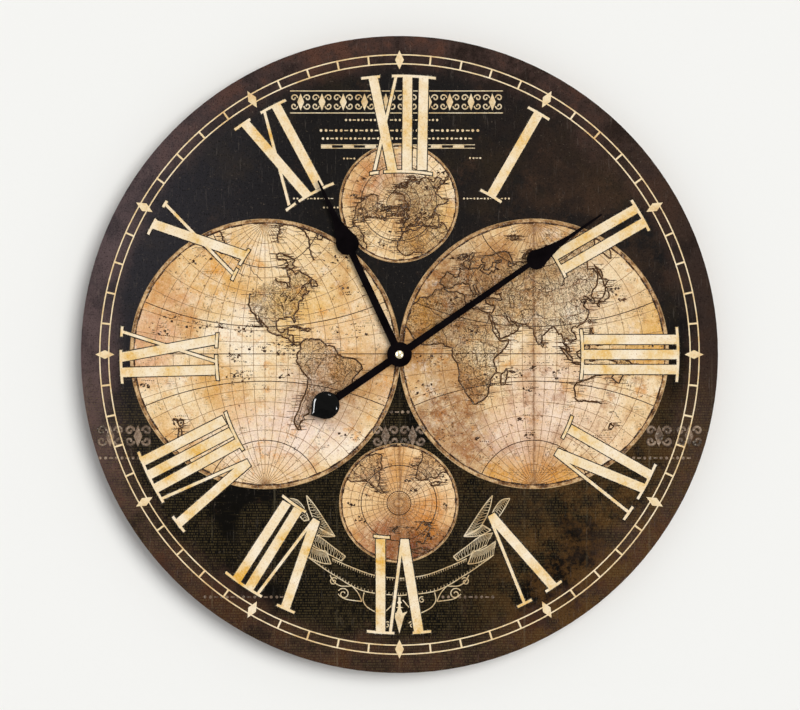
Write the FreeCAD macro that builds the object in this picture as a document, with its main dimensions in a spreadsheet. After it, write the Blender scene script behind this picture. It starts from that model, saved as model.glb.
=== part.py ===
import FreeCAD, Part
import math
import os
import re
import Sketcher

# Wall clock with a round printed board, hung by a keyhole plate on its back.
# The front faces -Y, the wall is the plane y = 0, and +Z is up.
# The origin is the centre of the keyhole's round hole, in the wall plane.

sizes = {
    "dial": {
        "dial_diameter": 600, "board_thickness": 5, "print_thickness": 0.3,
        "board_hole_clearance": 0.25,
    },
    "battens": {
        "batten_span": 360, "batten_width": 30, "batten_chamfer": 1.5, "wall_gap": 0.8,
    },
    "hanger": {
        "plate_width": 52, "plate_height": 21, "plate_thickness": 1.5, "plate_corner": 2,
        "plate_rise": 2.5, "keyhole_radius": 4.5, "slot_radius": 2.25, "slot_rise": 7,
        "recess_clearance": 0.2, "nail_pocket_width": 16, "nail_pocket_height": 17,
        "nail_pocket_depth": 9, "screw_spacing": 40, "screw_head_radius": 3,
        "screw_radius": 1.5, "screw_length": 12, "screw_clearance": 0.05,
    },
    "battery": {
        "cell_diameter": 14.2, "cell_length": 50.5, "cell_clearance": 0.3,
        "cell_nipple_radius": 2.75, "cell_nipple_length": 1.2, "cell_edge": 0.6,
    },
    "movement case": {
        "case_wall": 1.2, "case_corner": 2, "leaf_room": 2.8,
        "train_clearance": 1.6, "train_rise": 26.8, "pivot_depth": 0.7,
        "scoop_width": 16, "scoop_depth": 5, "cover_clearance": 0.05,
    },
    "fits": {
        "running_clearance": 0.08, "pivot_clearance": 0.04, "thread_clearance": 0.05,
        "contact_clearance": 0.05, "press_clearance": 0.02, "overrun": 1,
    },
    "gears": {
        "train_module": 0.3, "hour_wheel_teeth": 32, "motion_pinion_teeth": 8,
        "motion_wheel_teeth": 30, "cannon_teeth": 10, "centre_teeth": 64,
        "train_pinion_teeth": 8, "third_teeth": 60, "second_teeth": 48,
        "intermediate_teeth": 40, "third_bearing": 50, "intermediate_bearing": 60,
        "rotor_bearing": 20, "train_arbor_radius": 0.5, "motion_arbor_radius": 0.6,
        "second_passage_radius": 1.75,
    },
    "hand arbors": {
        "bush_wall": 1.37, "bush_overrun": 1, "minute_arbor_radius": 1.7,
        "hour_pipe_wall": 0.77, "minute_stub_radius": 1.3, "minute_stub_length": 2.6,
        "second_bore_radius": 0.54, "collar_radius": 2.6, "clutch_radius": 3.4,
        "shoulder_radius": 2.2, "shoulder_gap": 0.05, "pipe_overrun": 0.5,
    },
    "washers and nuts": {
        "rubber_thickness": 1, "rubber_radius": 10, "washer_thickness": 1, "washer_radius": 8,
        "nut_thickness": 2, "nut_width": 11, "cap_nut_radius": 3.75, "cap_nut_height": 2.6,
        "cap_nut_rim": 1,
    },
    "setting knob": {
        "knob_radius": 5, "knob_thickness": 1.9, "knob_gap": 0.3, "knob_groove_depth": 0.5,
        "knob_groove_half": 0.45, "knob_grooves": 20,
    },
    "middle plate": {
        "plate_inset": 0.1, "plate_reach": 6.5, "post_half": 1.5, "post_room": 0.4,
        "post_right": 14, "post_low": 8, "post_rise": 3, "rest_half": 1, "rest_left": 8,
        "rest_high": 13, "stator_rest_shift": 2,
    },
    "motor": {
        "magnet_radius": 2.5, "stator_hole_radius": 2.9, "stator_inner": 4, "stator_outer": 5,
        "stator_height": 20.4, "stator_arm": 3.4, "stator_reach": 13, "coil_offset": 10.6,
        "core_width": 3, "bobbin_length": 12.8, "bobbin_flange": 0.8, "bobbin_width": 5,
        "bobbin_tube_radius": 1.9, "winding_radius": 2.4,
    },
    "electronics": {
        "circuit_width": 22, "circuit_height": 16, "circuit_inset": 0.5, "chip_radius": 3,
        "chip_top_radius": 2, "chip_height": 1.1, "chip_left": 15, "chip_high": 17,
        "crystal_radius": 1, "crystal_length": 6, "crystal_left": 12, "crystal_high": 23.5,
    },
    "contacts": {
        "contact_thickness": 0.3, "contact_foot": 3, "strip_gap": 0.5,
        "leaf_inset": 2, "notch_clearance": 0.2,
    },
    "hands": {
        "hand_thickness": 0.8, "hand_gap": 0.3, "collet_flange": 0.6, "collet_length": 2.2,
        "collet_flange_radius": 4.6, "collet_radius": 3.6, "hands_gap": 1.4,
        "hour_turn": -25.1, "minute_turn": 55.3,
        "hour_length": 180.5, "hour_hub_radius": 10.5, "hour_root_half": 3.8,
        "hour_neck_half": 3.2, "hour_spade_centre": 115.4, "hour_spade_radius": 10.9,
        "hour_flank_start": 141, "hour_flank_half": 2.9, "hour_flank_radius": 130,
        "minute_length": 231, "minute_hub_radius": 11.75, "minute_root_half": 3.6,
        "minute_neck_half": 2.4, "minute_spade_centre": 156.8, "minute_spade_radius": 9.5,
        "minute_flank_start": 193, "minute_flank_half": 1.8, "minute_flank_radius": 160,
        "shoulder_bearing": 35, "tip_half": 0.8,
    },
    "counterweight": {
        "tail_half": 3.5, "tail_length": 84, "weight_radius": 13, "weight_tip_radius": 4,
        "weight_tip_offset": 12, "weight_thickness": 4, "weight_bevel": 2.4,
    },
}

# Tooth forms: corners as heights in modules and distances across in tooth pitches.
wheel_tip_share = 0.75
wheel_tooth_shares = ((-1.4, -0.5), (wheel_tip_share, -0.12), (wheel_tip_share, 0.12))
pinion_tooth_shares = ((-1.1, -0.24), (0.6, -0.12), (0.6, 0.12), (-1.1, 0.24))

# Module of the motion work and of the centre wheel, against the train's own module.
motion_module_share = 11 / 6

# Layers of the movement, front and back, in shares of the case's depth from its front.
layer_shares = {
    "hour_wheel": (0.100, 0.156), "motion_pinion": (0.094, 0.175),
    "cannon_pinion": (0.175, 0.2625), "motion_wheel": (0.194, 0.250),
    "third_pinion": (0.275, 0.356), "centre_wheel": (0.2875, 0.3375),
    "clutch_spring": (0.3375, 0.3625), "tube_collar": (0.3625, 0.3875),
    "second_bore": (0.220, 0.3875), "second_pivot": (0.235, 0.4125),
    "second_pinion": (0.4125, 0.494), "third_wheel": (0.425, 0.475),
    "middle_plate": (0.5125, 0.575), "plate_pivot": (0.530, 0.575),
    "contacts": (0.5875, 0.7875), "intermediate_pinion": (0.594, 0.675),
    "second_wheel": (0.606, 0.656), "circuit_board": (0.6375, 0.700),
    "rotor_magnet": (0.650, 0.775), "stator": (0.6875, 0.7375),
    "coil_core": (0.7375, 0.7875), "rotor_pinion": (0.800, 0.875),
    "intermediate_wheel": (0.8125, 0.8625), "rear_cover": (0.925, 1.000),
}

doc = FreeCAD.newDocument("wall_clock")
sheet = doc.addObject("Spreadsheet::Sheet", "Sizes")
aliases = set()
nodes = []


def fill_sheet():
    row = 1
    for title, values in sizes.items():
        sheet.set("A%d" % row, title)
        row += 1
        for alias, number in values.items():
            sheet.set("A%d" % row, alias)
            sheet.set("B%d" % row, str(number))
            sheet.setAlias("B%d" % row, alias)
            aliases.add(alias)
            row += 1
    doc.recompute()


def value(text):
    """Number that an expression in the sheet's names comes to."""
    return float(sheet.evalExpression(str(text)))


def bind(item, path, text):
    """Tie a property to an expression in the sheet's names."""
    def owned(found):
        word = found.group(0)
        return "Sizes." + word if word in aliases else word
    item.setExpression(path, re.sub(r"[a-z_]\w*", owned, str(text)))


def place(item, x="0", y="0", z="0"):
    for axis, text in (("x", x), ("y", y), ("z", z)):
        bind(item, "Placement.Base." + axis, text)
    return item


def node(item, label):
    item.Label = label
    nodes.append(item)
    return item


def rod(name, radius, front, back, x="0", z="0"):
    """Cylinder along Y between two levels."""
    item = doc.addObject("Part::Cylinder", name)
    item.Placement.Rotation = FreeCAD.Rotation(FreeCAD.Vector(1, 0, 0), 90)
    bind(item, "Radius", radius)
    bind(item, "Height", "(%s) - (%s)" % (back, front))
    return place(item, x, back, z)


def cone(name, back_radius, front_radius, front, back, x="0", z="0"):
    item = doc.addObject("Part::Cone", name)
    item.Placement.Rotation = FreeCAD.Rotation(FreeCAD.Vector(1, 0, 0), 90)
    bind(item, "Radius1", back_radius)
    bind(item, "Radius2", front_radius)
    bind(item, "Height", "(%s) - (%s)" % (back, front))
    return place(item, x, back, z)


def box(name, x, y, z):
    """Box between a low and a high expression on each axis."""
    item = doc.addObject("Part::Box", name)
    for side, (low, high) in (("Length", x), ("Width", y), ("Height", z)):
        bind(item, side, "(%s) - (%s)" % (high, low))
    return place(item, x[0], y[0], z[0])


def upright(name, radius, low, high, x, y):
    item = doc.addObject("Part::Cylinder", name)
    bind(item, "Radius", radius)
    bind(item, "Height", "(%s) - (%s)" % (high, low))
    return place(item, x, y, low)


def fuse(label, *pieces):
    item = doc.addObject("Part::MultiFuse", label)
    item.Shapes = list(pieces)
    item.Refine = True
    return item


def cut(label, base, *tools):
    item = doc.addObject("Part::Cut", label)
    item.Base = base
    item.Tool = tools[0] if len(tools) == 1 else fuse(label + "_tools", *tools)
    return item


def new_body(name, x="0", y="0", z="0", turn=None):
    item = doc.addObject("PartDesign::Body", name)
    if turn:
        item.Placement.Rotation = FreeCAD.Rotation(FreeCAD.Vector(0, 1, 0), value(turn))
        bind(item, "Placement.Rotation.Angle", turn)
    return place(item, x, y, z)


def new_sketch(body, plane):
    item = body.newObject("Sketcher::SketchObject", body.Name + "_sketch")
    support = [part for part in body.Origin.OriginFeatures if part.Role == plane][0]
    item.AttachmentSupport = [(support, "")]
    item.MapMode = "FlatFace"
    return item


def fix_point(sketch, edge, end, x, y):
    for kind, text in (("DistanceX", x), ("DistanceY", y)):
        rule = sketch.addConstraint(Sketcher.Constraint(kind, -1, 1, edge, end, value(text)))
        bind(sketch, "Constraints[%d]" % rule, text)


def fix_radius(sketch, edge, radius):
    rule = sketch.addConstraint(Sketcher.Constraint("Radius", edge, value(radius)))
    bind(sketch, "Constraints[%d]" % rule, radius)


def draw_circle(sketch, radius, x="0", y="0"):
    centre = FreeCAD.Vector(value(x), value(y), 0)
    edge = sketch.addGeometry(Part.Circle(centre, FreeCAD.Vector(0, 0, 1), value(radius)))
    fix_point(sketch, edge, 3, x, y)
    fix_radius(sketch, edge, radius)


def arc_edge(start, end, radius, left):
    """Minor arc from start to end that bulges to the right of its chord, or to the left."""
    chord = end - start
    rise = math.sqrt(radius ** 2 - chord.Length ** 2 / 4)
    side = FreeCAD.Vector(-chord.y, chord.x, 0).normalize()
    centre = (start + end) / 2 + side * (-rise if left else rise)
    first, last = (end, start) if left else (start, end)
    angles = [math.atan2(point.y - centre.y, point.x - centre.x) for point in (first, last)]
    return Part.ArcOfCircle(Part.Circle(centre, FreeCAD.Vector(0, 0, 1), radius), *angles)


def draw_outline(sketch, corners):
    """Closed outline. A corner is (x, y), or (x, y, radius, side) where an arc leaves it."""
    points = [FreeCAD.Vector(value(corner[0]), value(corner[1]), 0) for corner in corners]
    edges = []
    for index, corner in enumerate(corners):
        start, end = points[index], points[(index + 1) % len(points)]
        left = len(corner) > 2 and corner[3] == "left"
        if len(corner) > 2:
            edge = sketch.addGeometry(arc_edge(start, end, value(corner[2]), left))
        else:
            edge = sketch.addGeometry(Part.LineSegment(start, end))
        edges.append((edge, 2 if left else 1, 1 if left else 2))
    for index, (edge, first, last) in enumerate(edges):
        following = edges[(index + 1) % len(edges)]
        sketch.addConstraint(Sketcher.Constraint("Coincident", edge, last, following[0], following[1]))
    for corner, (edge, first, last) in zip(corners, edges):
        fix_point(sketch, edge, first, corner[0], corner[1])
        if len(corner) > 2:
            fix_radius(sketch, edge, corner[2])


def rectangle(x, y):
    """Corners of a plain rectangle, anticlockwise."""
    return [(x[0], y[0]), (x[1], y[0]), (x[1], y[1]), (x[0], y[1])]


def rounded(x, y, radius):
    """Corners of a rounded rectangle, anticlockwise."""
    low_x, high_x, low_y, high_y, r = x[0], x[1], y[0], y[1], radius
    return [
        ("%s + %s" % (low_x, r), low_y), ("%s - %s" % (high_x, r), low_y, r, "right"),
        (high_x, "%s + %s" % (low_y, r)), (high_x, "%s - %s" % (high_y, r), r, "right"),
        ("%s - %s" % (high_x, r), high_y), ("%s + %s" % (low_x, r), high_y, r, "right"),
        (low_x, "%s - %s" % (high_y, r)), (low_x, "%s + %s" % (low_y, r), r, "right"),
    ]


def pad(body, sketch, length, both_ways=False):
    item = body.newObject("PartDesign::Pad", body.Name + "_pad")
    item.Profile = sketch
    item.Midplane = both_ways
    bind(item, "Length", length)
    return item


def pocket(body, sketch, length):
    """Pocket that runs forward from the body's own y = 0."""
    item = body.newObject("PartDesign::Pocket", body.Name + "_pocket")
    item.Profile = sketch
    item.Reversed = True
    bind(item, "Length", length)
    return item


def turned(name, corners, axis="V_Axis", x="0", y="0", z="0"):
    """Turned piece: corners are (radius, y) about Y, or (x, radius) about X."""
    body = new_body(name, x, y, z)
    sketch = new_sketch(body, "XY_Plane")
    draw_outline(sketch, corners)
    item = body.newObject("PartDesign::Revolution", name + "_turned")
    item.Profile = sketch
    item.ReferenceAxis = (sketch, [axis])
    item.Angle = 360
    return body


def ring(name, inner, outer, thickness, back, z):
    """Flat ring whose back lies at a level."""
    body = new_body(name, y=back, z=z)
    sketch = new_sketch(body, "XZ_Plane")
    draw_circle(sketch, outer)
    draw_circle(sketch, inner)
    pad(body, sketch, thickness)
    return body


def gear(name, teeth, module, layer, x, z, mesh_bearing):
    """Toothed disc. A wheel turns a tooth to its mate's bearing, a pinion turns a gap."""
    count = round(value(teeth))
    scale = value(module)
    pitch = 2 * math.pi / count
    pinion = "pinion" in layer
    shares = pinion_tooth_shares if pinion else wheel_tooth_shares
    start = math.radians(value(mesh_bearing)) + (pitch / 2 if pinion else 0)
    points = []
    for tooth in range(count):
        for height, across in shares:
            angle = start + (tooth + across) * pitch
            reach = scale * (count / 2 + height)
            points.append(FreeCAD.Vector(reach * math.cos(angle), 0, reach * math.sin(angle)))
    front, back = levels(layer)
    depth = value("(%s) - (%s)" % (back, front))
    item = doc.addObject("Part::Feature", name)
    item.Shape = Part.Face(Part.makePolygon(points + points[:1])).extrude(FreeCAD.Vector(0, -depth, 0))
    return place(item, x, back, z)


fill_sheet()

# Case and batten sizes that follow from the cell, the washers and the gears.
motion_module = "(train_module * %r)" % motion_module_share
centre_module = "(train_module * (third_teeth + train_pinion_teeth) / (centre_teeth + train_pinion_teeth))"
case_depth = "(case_wall + cell_diameter + 2 * cell_clearance)"
case_width = "(cell_length + contact_thickness + leaf_room + 2 * case_wall)"
batten_depth = "(rubber_thickness + %s + knob_gap + knob_thickness + wall_gap)" % case_depth
hour_wheel_tip = "(%s * (hour_wheel_teeth / 2 + %r))" % (motion_module, wheel_tip_share)
hour_pipe_bore = "(minute_arbor_radius + running_clearance)"
hour_pipe_radius = "(%s + hour_pipe_wall)" % hour_pipe_bore
bush_bore = "(%s + running_clearance)" % hour_pipe_radius
bush_radius = "(%s + bush_wall)" % bush_bore
motion_wheel_tip = "(%s * (motion_wheel_teeth / 2 + %r))" % (motion_module, wheel_tip_share)

# Levels along Y, from the wall forward.
case_back = "(-(wall_gap + knob_thickness + knob_gap))"
case_front = "(%s - %s)" % (case_back, case_depth)
board_back = "(-%s)" % batten_depth
board_front = "(%s - board_thickness)" % board_back
print_front = "(%s - print_thickness)" % board_front
washer_front = "(%s - washer_thickness)" % print_front
nut_front = "(%s - nut_thickness)" % washer_front
bush_front = "(%s - bush_overrun)" % nut_front
collet_back = "(%s - hand_gap)" % bush_front
hour_hand_back = "(%s - collet_flange)" % collet_back
collet_front = "(%s - collet_length)" % collet_back
minute_hand_back = "(%s - hands_gap)" % collet_front
minute_hand_front = "(%s - hand_thickness)" % minute_hand_back
case_inner_front = "(%s + case_wall)" % case_front

# Places across the movement, from the hands' axis.
hand_z = "(-(batten_span - batten_width) / 2)"
case_half = "(%s / 2)" % case_width
wall_left = "(-%s + case_wall)" % case_half
wall_right = "(%s - case_wall)" % case_half
train_low = "(%s - %s - train_clearance)" % (hand_z, hour_wheel_tip)
train_high = "(%s + train_rise)" % hand_z
bay_high = "(%s - case_wall)" % train_low
bay_low = "(%s - cell_diameter - 2 * cell_clearance)" % bay_high
case_low = "(%s - case_wall)" % bay_low
case_high = "(%s + case_wall)" % train_high
cell_z = "((%s + %s) / 2)" % (bay_low, bay_high)

motion_x = "(-%s * (hour_wheel_teeth + motion_pinion_teeth) / 2)" % motion_module
third_distance = "(train_module * (third_teeth + train_pinion_teeth) / 2)"
third_x = "(%s * cos(third_bearing))" % third_distance
third_z = "(%s + %s * sin(third_bearing))" % (hand_z, third_distance)
intermediate_distance = "(train_module * (second_teeth + train_pinion_teeth) / 2)"
intermediate_x = "(%s * cos(intermediate_bearing))" % intermediate_distance
intermediate_z = "(%s + %s * sin(intermediate_bearing))" % (hand_z, intermediate_distance)
rotor_distance = "(train_module * (intermediate_teeth + train_pinion_teeth) / 2)"
rotor_x = "(%s + %s * cos(rotor_bearing))" % (intermediate_x, rotor_distance)
rotor_z = "(%s + %s * sin(rotor_bearing))" % (intermediate_z, rotor_distance)
post_left_x = "(%s - %s - post_room)" % (motion_x, motion_wheel_tip)
post_high_z = "(%s + stator_height / 2 + post_rise)" % rotor_z


def levels(layer):
    """Front and back of a layer of the movement."""
    shares = layer_shares[layer]
    return tuple("(%s + %r * %s)" % (case_front, share, case_depth) for share in shares)


def make_dial():
    discs = (("dial_board", "board_thickness", board_back), ("printed_face", "print_thickness", board_front))
    for name, thickness, back in discs:
        hole = bush_radius + " + board_hole_clearance"
        node(ring(name, hole, "dial_diameter / 2", thickness, back, hand_z), name)


def batten_section(depth_first):
    """Section of a batten, chamfered along both edges of its back."""
    half = "batten_width / 2"
    corners = [
        (board_back, "-" + half), ("-batten_chamfer", "-" + half),
        ("0", "batten_chamfer - " + half), ("0", half + " - batten_chamfer"),
        ("-batten_chamfer", half), (board_back, half),
    ]
    return corners if depth_first else [(across, deep) for deep, across in corners]


def make_battens():
    lying = (("batten_top", "0"), ("batten_bottom", "2 * " + hand_z))
    for name, z in lying:
        body = new_body(name, z=z)
        sketch = new_sketch(body, "YZ_Plane")
        draw_outline(sketch, batten_section(True))
        pad(body, sketch, "batten_span", both_ways=True)
        if name == "batten_top":
            cut_hanger_seat(body)
        node(body, name)
    for name, x in (("batten_left", hand_z), ("batten_right", "-" + hand_z)):
        body = new_body(name, x=x, z=hand_z)
        sketch = new_sketch(body, "XY_Plane")
        draw_outline(sketch, batten_section(False))
        pad(body, sketch, "batten_span - 2 * batten_width", both_ways=True)
        node(body, name)


def plate_span(clearance):
    """Low and high edges of the hanger plate, with a clearance round it."""
    half_width = "(plate_width / 2 + %s)" % clearance
    half_height = "(plate_height / 2 + %s)" % clearance
    return (("-" + half_width, half_width),
            ("plate_rise - " + half_height, "plate_rise + " + half_height))


def cut_hanger_seat(body):
    """Recess for the plate, pocket for the nail's head and holes for the screws."""
    recess = new_sketch(body, "XZ_Plane")
    draw_outline(recess, rounded(*plate_span("recess_clearance"), "plate_corner"))
    pocket(body, recess, "plate_thickness")
    deep = new_sketch(body, "XZ_Plane")
    half_width = "nail_pocket_width / 2"
    draw_outline(deep, rounded(
        ("-" + half_width, half_width),
        ("plate_rise - nail_pocket_height / 2", "plate_rise + nail_pocket_height / 2"), "plate_corner"))
    pocket(body, deep, "plate_thickness + nail_pocket_depth")
    holes = new_sketch(body, "XZ_Plane")
    for side in ("-", ""):
        draw_circle(holes, "screw_radius + screw_clearance", side + "screw_spacing / 2", "plate_rise")
    pocket(body, holes, "screw_length + screw_clearance")


def make_hanger():
    plate = new_body("hanger_plate_blank")
    sketch = new_sketch(plate, "XZ_Plane")
    draw_outline(sketch, rounded(*plate_span("0"), "plate_corner"))
    throat = "sqrt(keyhole_radius ^ 2 - slot_radius ^ 2)"
    draw_outline(sketch, [
        ("0", "-keyhole_radius", "keyhole_radius", "right"), ("slot_radius", throat),
        ("slot_radius", "slot_rise", "slot_radius", "right"),
        ("0", "slot_rise + slot_radius", "slot_radius", "right"), ("-slot_radius", "slot_rise"),
        ("-slot_radius", throat, "keyhole_radius", "right"),
    ])
    pad(plate, sketch, "plate_thickness")
    sinks = []
    screws = []
    for name, side in (("left", "-"), ("right", "")):
        x = side + "screw_spacing / 2"
        wide, narrow = "(screw_head_radius + screw_clearance)", "(screw_radius + screw_clearance)"
        sinks.append(cone("sink_" + name, wide, narrow, "-plate_thickness", "0", x, "plate_rise"))
        head = cone("head_" + name, "screw_head_radius", "screw_radius", "-plate_thickness", "0",
                    x, "plate_rise")
        shank = rod("shank_" + name, "screw_radius", "-screw_length", "-plate_thickness", x, "plate_rise")
        screws.append(fuse("screw_" + name, head, shank))
    node(cut("hanger_plate", plate, *sinks), "hanger_plate")
    pair = doc.addObject("Part::Compound", "hanger_screws")
    pair.Links = screws
    node(pair, "hanger_screws")


def make_case():
    body = new_body("movement_case", y=case_back)
    outer = new_sketch(body, "XZ_Plane")
    draw_outline(outer, rounded(("-" + case_half, case_half), (case_low, case_high), "case_corner"))
    pad(body, outer, case_depth)
    inner_depth = "%s - case_wall" % case_depth
    for low, high in ((train_low, train_high), (bay_low, bay_high)):
        room = new_sketch(body, "XZ_Plane")
        draw_outline(room, rectangle((wall_left, wall_right), (low, high)))
        pocket(body, room, inner_depth)
    bush = new_sketch(body, "XZ_Plane")
    draw_circle(bush, bush_radius, "0", hand_z)
    pocket(body, bush, case_depth)
    pivots = new_sketch(body, "XZ_Plane")
    draw_circle(pivots, "motion_arbor_radius + pivot_clearance", motion_x, hand_z)
    draw_circle(pivots, "train_arbor_radius + pivot_clearance", third_x, third_z)
    pocket(body, pivots, inner_depth + " + pivot_depth")
    notches = new_sketch(body, "XZ_Plane")
    wide = "(contact_thickness + notch_clearance)"
    notch_ends = (wall_left, "%s + %s" % (wall_left, wide)), ("%s - %s" % (wall_right, wide), wall_right)
    for ends in notch_ends:
        draw_outline(notches, rectangle(ends, (bay_high + " - overrun", train_low + " + overrun")))
    pocket(body, notches, "%r * %s + notch_clearance" % (1 - layer_shares["contacts"][0], case_depth))
    scoop = new_sketch(body, "XZ_Plane")
    draw_outline(scoop, rectangle(("-scoop_width / 2", "scoop_width / 2"),
                                  (case_low + " - overrun", bay_low + " + overrun")))
    pocket(body, scoop, "scoop_depth")
    node(body, "movement_case")


def make_rear_cover():
    front, back = levels("rear_cover")
    body = new_body("rear_cover", y=front)
    outer = new_sketch(body, "XZ_Plane")
    draw_outline(outer, rectangle(
        (wall_left + " + cover_clearance", wall_right + " - cover_clearance"),
        (train_low + " + cover_clearance", train_high + " - cover_clearance")))
    draw_circle(outer, "motion_arbor_radius + running_clearance", motion_x, hand_z)
    plate = pad(body, outer, "(%s) - (%s)" % (back, front))
    plate.Reversed = True
    pivots = new_sketch(body, "XZ_Plane")
    for x, z in (("0", hand_z), (intermediate_x, intermediate_z), (rotor_x, rotor_z)):
        draw_circle(pivots, "train_arbor_radius + pivot_clearance", x, z)
    holes = pocket(body, pivots, "pivot_depth")
    holes.Reversed = False
    node(body, "rear_cover")


def make_middle_plate():
    front, back = levels("middle_plate")
    cover_front = levels("rear_cover")[0]
    body = new_body("middle_plate_blank", y=back)
    sketch = new_sketch(body, "XZ_Plane")
    draw_outline(sketch, rectangle(
        (wall_left + " + plate_inset", rotor_x + " + plate_reach"),
        (train_low + " + plate_inset", train_high + " - plate_inset")))
    draw_circle(sketch, "second_passage_radius", "0", hand_z)
    draw_circle(sketch, "motion_arbor_radius + running_clearance", motion_x, hand_z)
    for x, z in ((third_x, third_z), (intermediate_x, intermediate_z), (rotor_x, rotor_z)):
        draw_circle(sketch, "train_arbor_radius + pivot_clearance", x, z)
    pad(body, sketch, "(%s) - (%s)" % (back, front))
    circuit_front = levels("circuit_board")[0]
    supports = [
        ("post_half", post_left_x, "%s - post_low" % hand_z, case_inner_front, cover_front),
        ("post_half", "post_right", "%s - post_low" % hand_z, case_inner_front, cover_front),
        ("post_half", "post_right", post_high_z, case_inner_front, cover_front),
        ("post_half", post_left_x, post_high_z, case_inner_front, circuit_front),
        ("rest_half", "-rest_left", "%s + rest_high" % hand_z, back, circuit_front),
    ]
    for side in ("-", "+"):
        z = "%s %s (stator_height - stator_arm) / 2" % (rotor_z, side)
        supports.append(("rest_half", "%s + stator_rest_shift" % rotor_x, z, back, levels("stator")[0]))
    pieces = [body]
    for number, (half, x, z, near, far) in enumerate(supports):
        pieces.append(box("post_%d" % number, ("%s - %s" % (x, half), "%s + %s" % (x, half)), (near, far),
                          ("%s - %s" % (z, half), "%s + %s" % (z, half))))
    node(fuse("middle_plate", *pieces), "middle_plate")


def make_bush_and_fasteners():
    bush = ring("threaded_bush", bush_bore, bush_radius, "%s - %s" % (case_inner_front, bush_front),
                case_inner_front, hand_z)
    node(bush, "threaded_bush")
    over_bush = bush_radius + " + thread_clearance"
    rubber = ring("rubber_washer", over_bush, "rubber_radius", "rubber_thickness", case_front, hand_z)
    node(rubber, "rubber_washer")
    washer = ring("brass_washer", over_bush, "washer_radius", "washer_thickness", print_front, hand_z)
    node(washer, "brass_washer")
    nut = new_body("fixing_nut", y=washer_front, z=hand_z)
    sketch = new_sketch(nut, "XZ_Plane")
    corner = "nut_width / sqrt(3)"
    draw_outline(sketch, [
        ("%s * cos(%d)" % (corner, angle), "%s * sin(%d)" % (corner, angle)) for angle in range(0, 360, 60)
    ])
    draw_circle(sketch, over_bush)
    pad(nut, sketch, "nut_thickness")
    node(nut, "fixing_nut")


def make_wheel_work():
    """Hour wheel, motion wheel and the minute arbor with its cannon pinion."""
    hour_back = levels("hour_wheel")[1]
    pipe_front = "(%s - collet_length + pipe_overrun)" % collet_back
    disc = gear("hour_wheel_disc", "hour_wheel_teeth", motion_module, "hour_wheel", "0", hand_z, "180")
    pipe = rod("hour_pipe", hour_pipe_radius, pipe_front, hour_back, "0", hand_z)
    bore = rod("hour_bore", hour_pipe_bore, pipe_front + " - overrun", hour_back + " + overrun", "0", hand_z)
    node(cut("hour_wheel", fuse("hour_wheel_solid", disc, pipe), bore), "hour_wheel")

    wheel = gear("motion_wheel_disc", "motion_wheel_teeth", motion_module, "motion_wheel",
                 motion_x, hand_z, "0")
    pinion = gear("motion_pinion", "motion_pinion_teeth", motion_module, "motion_pinion",
                  motion_x, hand_z, "0")
    arbor = rod("motion_arbor", "motion_arbor_radius", "%s - pivot_depth" % case_inner_front,
                "-wall_gap", motion_x, hand_z)
    node(fuse("motion_wheel", wheel, pinion, arbor), "motion_wheel")

    bore_front, tube_back = levels("second_bore")
    collar_front = levels("tube_collar")[0]
    cannon_back = levels("cannon_pinion")[1]
    shoulder_back = "%s - shoulder_gap" % levels("centre_wheel")[0]
    cannon = gear("cannon_pinion", "cannon_teeth", motion_module, "cannon_pinion", "0", hand_z, "180")
    tube = turned("minute_arbor", [
        ("0", tube_back), ("collar_radius", tube_back), ("collar_radius", collar_front),
        ("minute_arbor_radius", collar_front), ("minute_arbor_radius", shoulder_back),
        ("shoulder_radius", shoulder_back), ("shoulder_radius", cannon_back),
        ("minute_arbor_radius", cannon_back), ("minute_arbor_radius", minute_hand_back),
        ("minute_stub_radius", minute_hand_back),
        ("minute_stub_radius", "%s - minute_stub_length" % minute_hand_back),
        ("0", "%s - minute_stub_length" % minute_hand_back),
    ], z=hand_z)
    pivot = rod("second_bore", "second_bore_radius", bore_front, tube_back + " + overrun", "0", hand_z)
    node(cut("minute_tube", fuse("minute_tube_solid", cannon, tube), pivot), "minute_tube")


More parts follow.
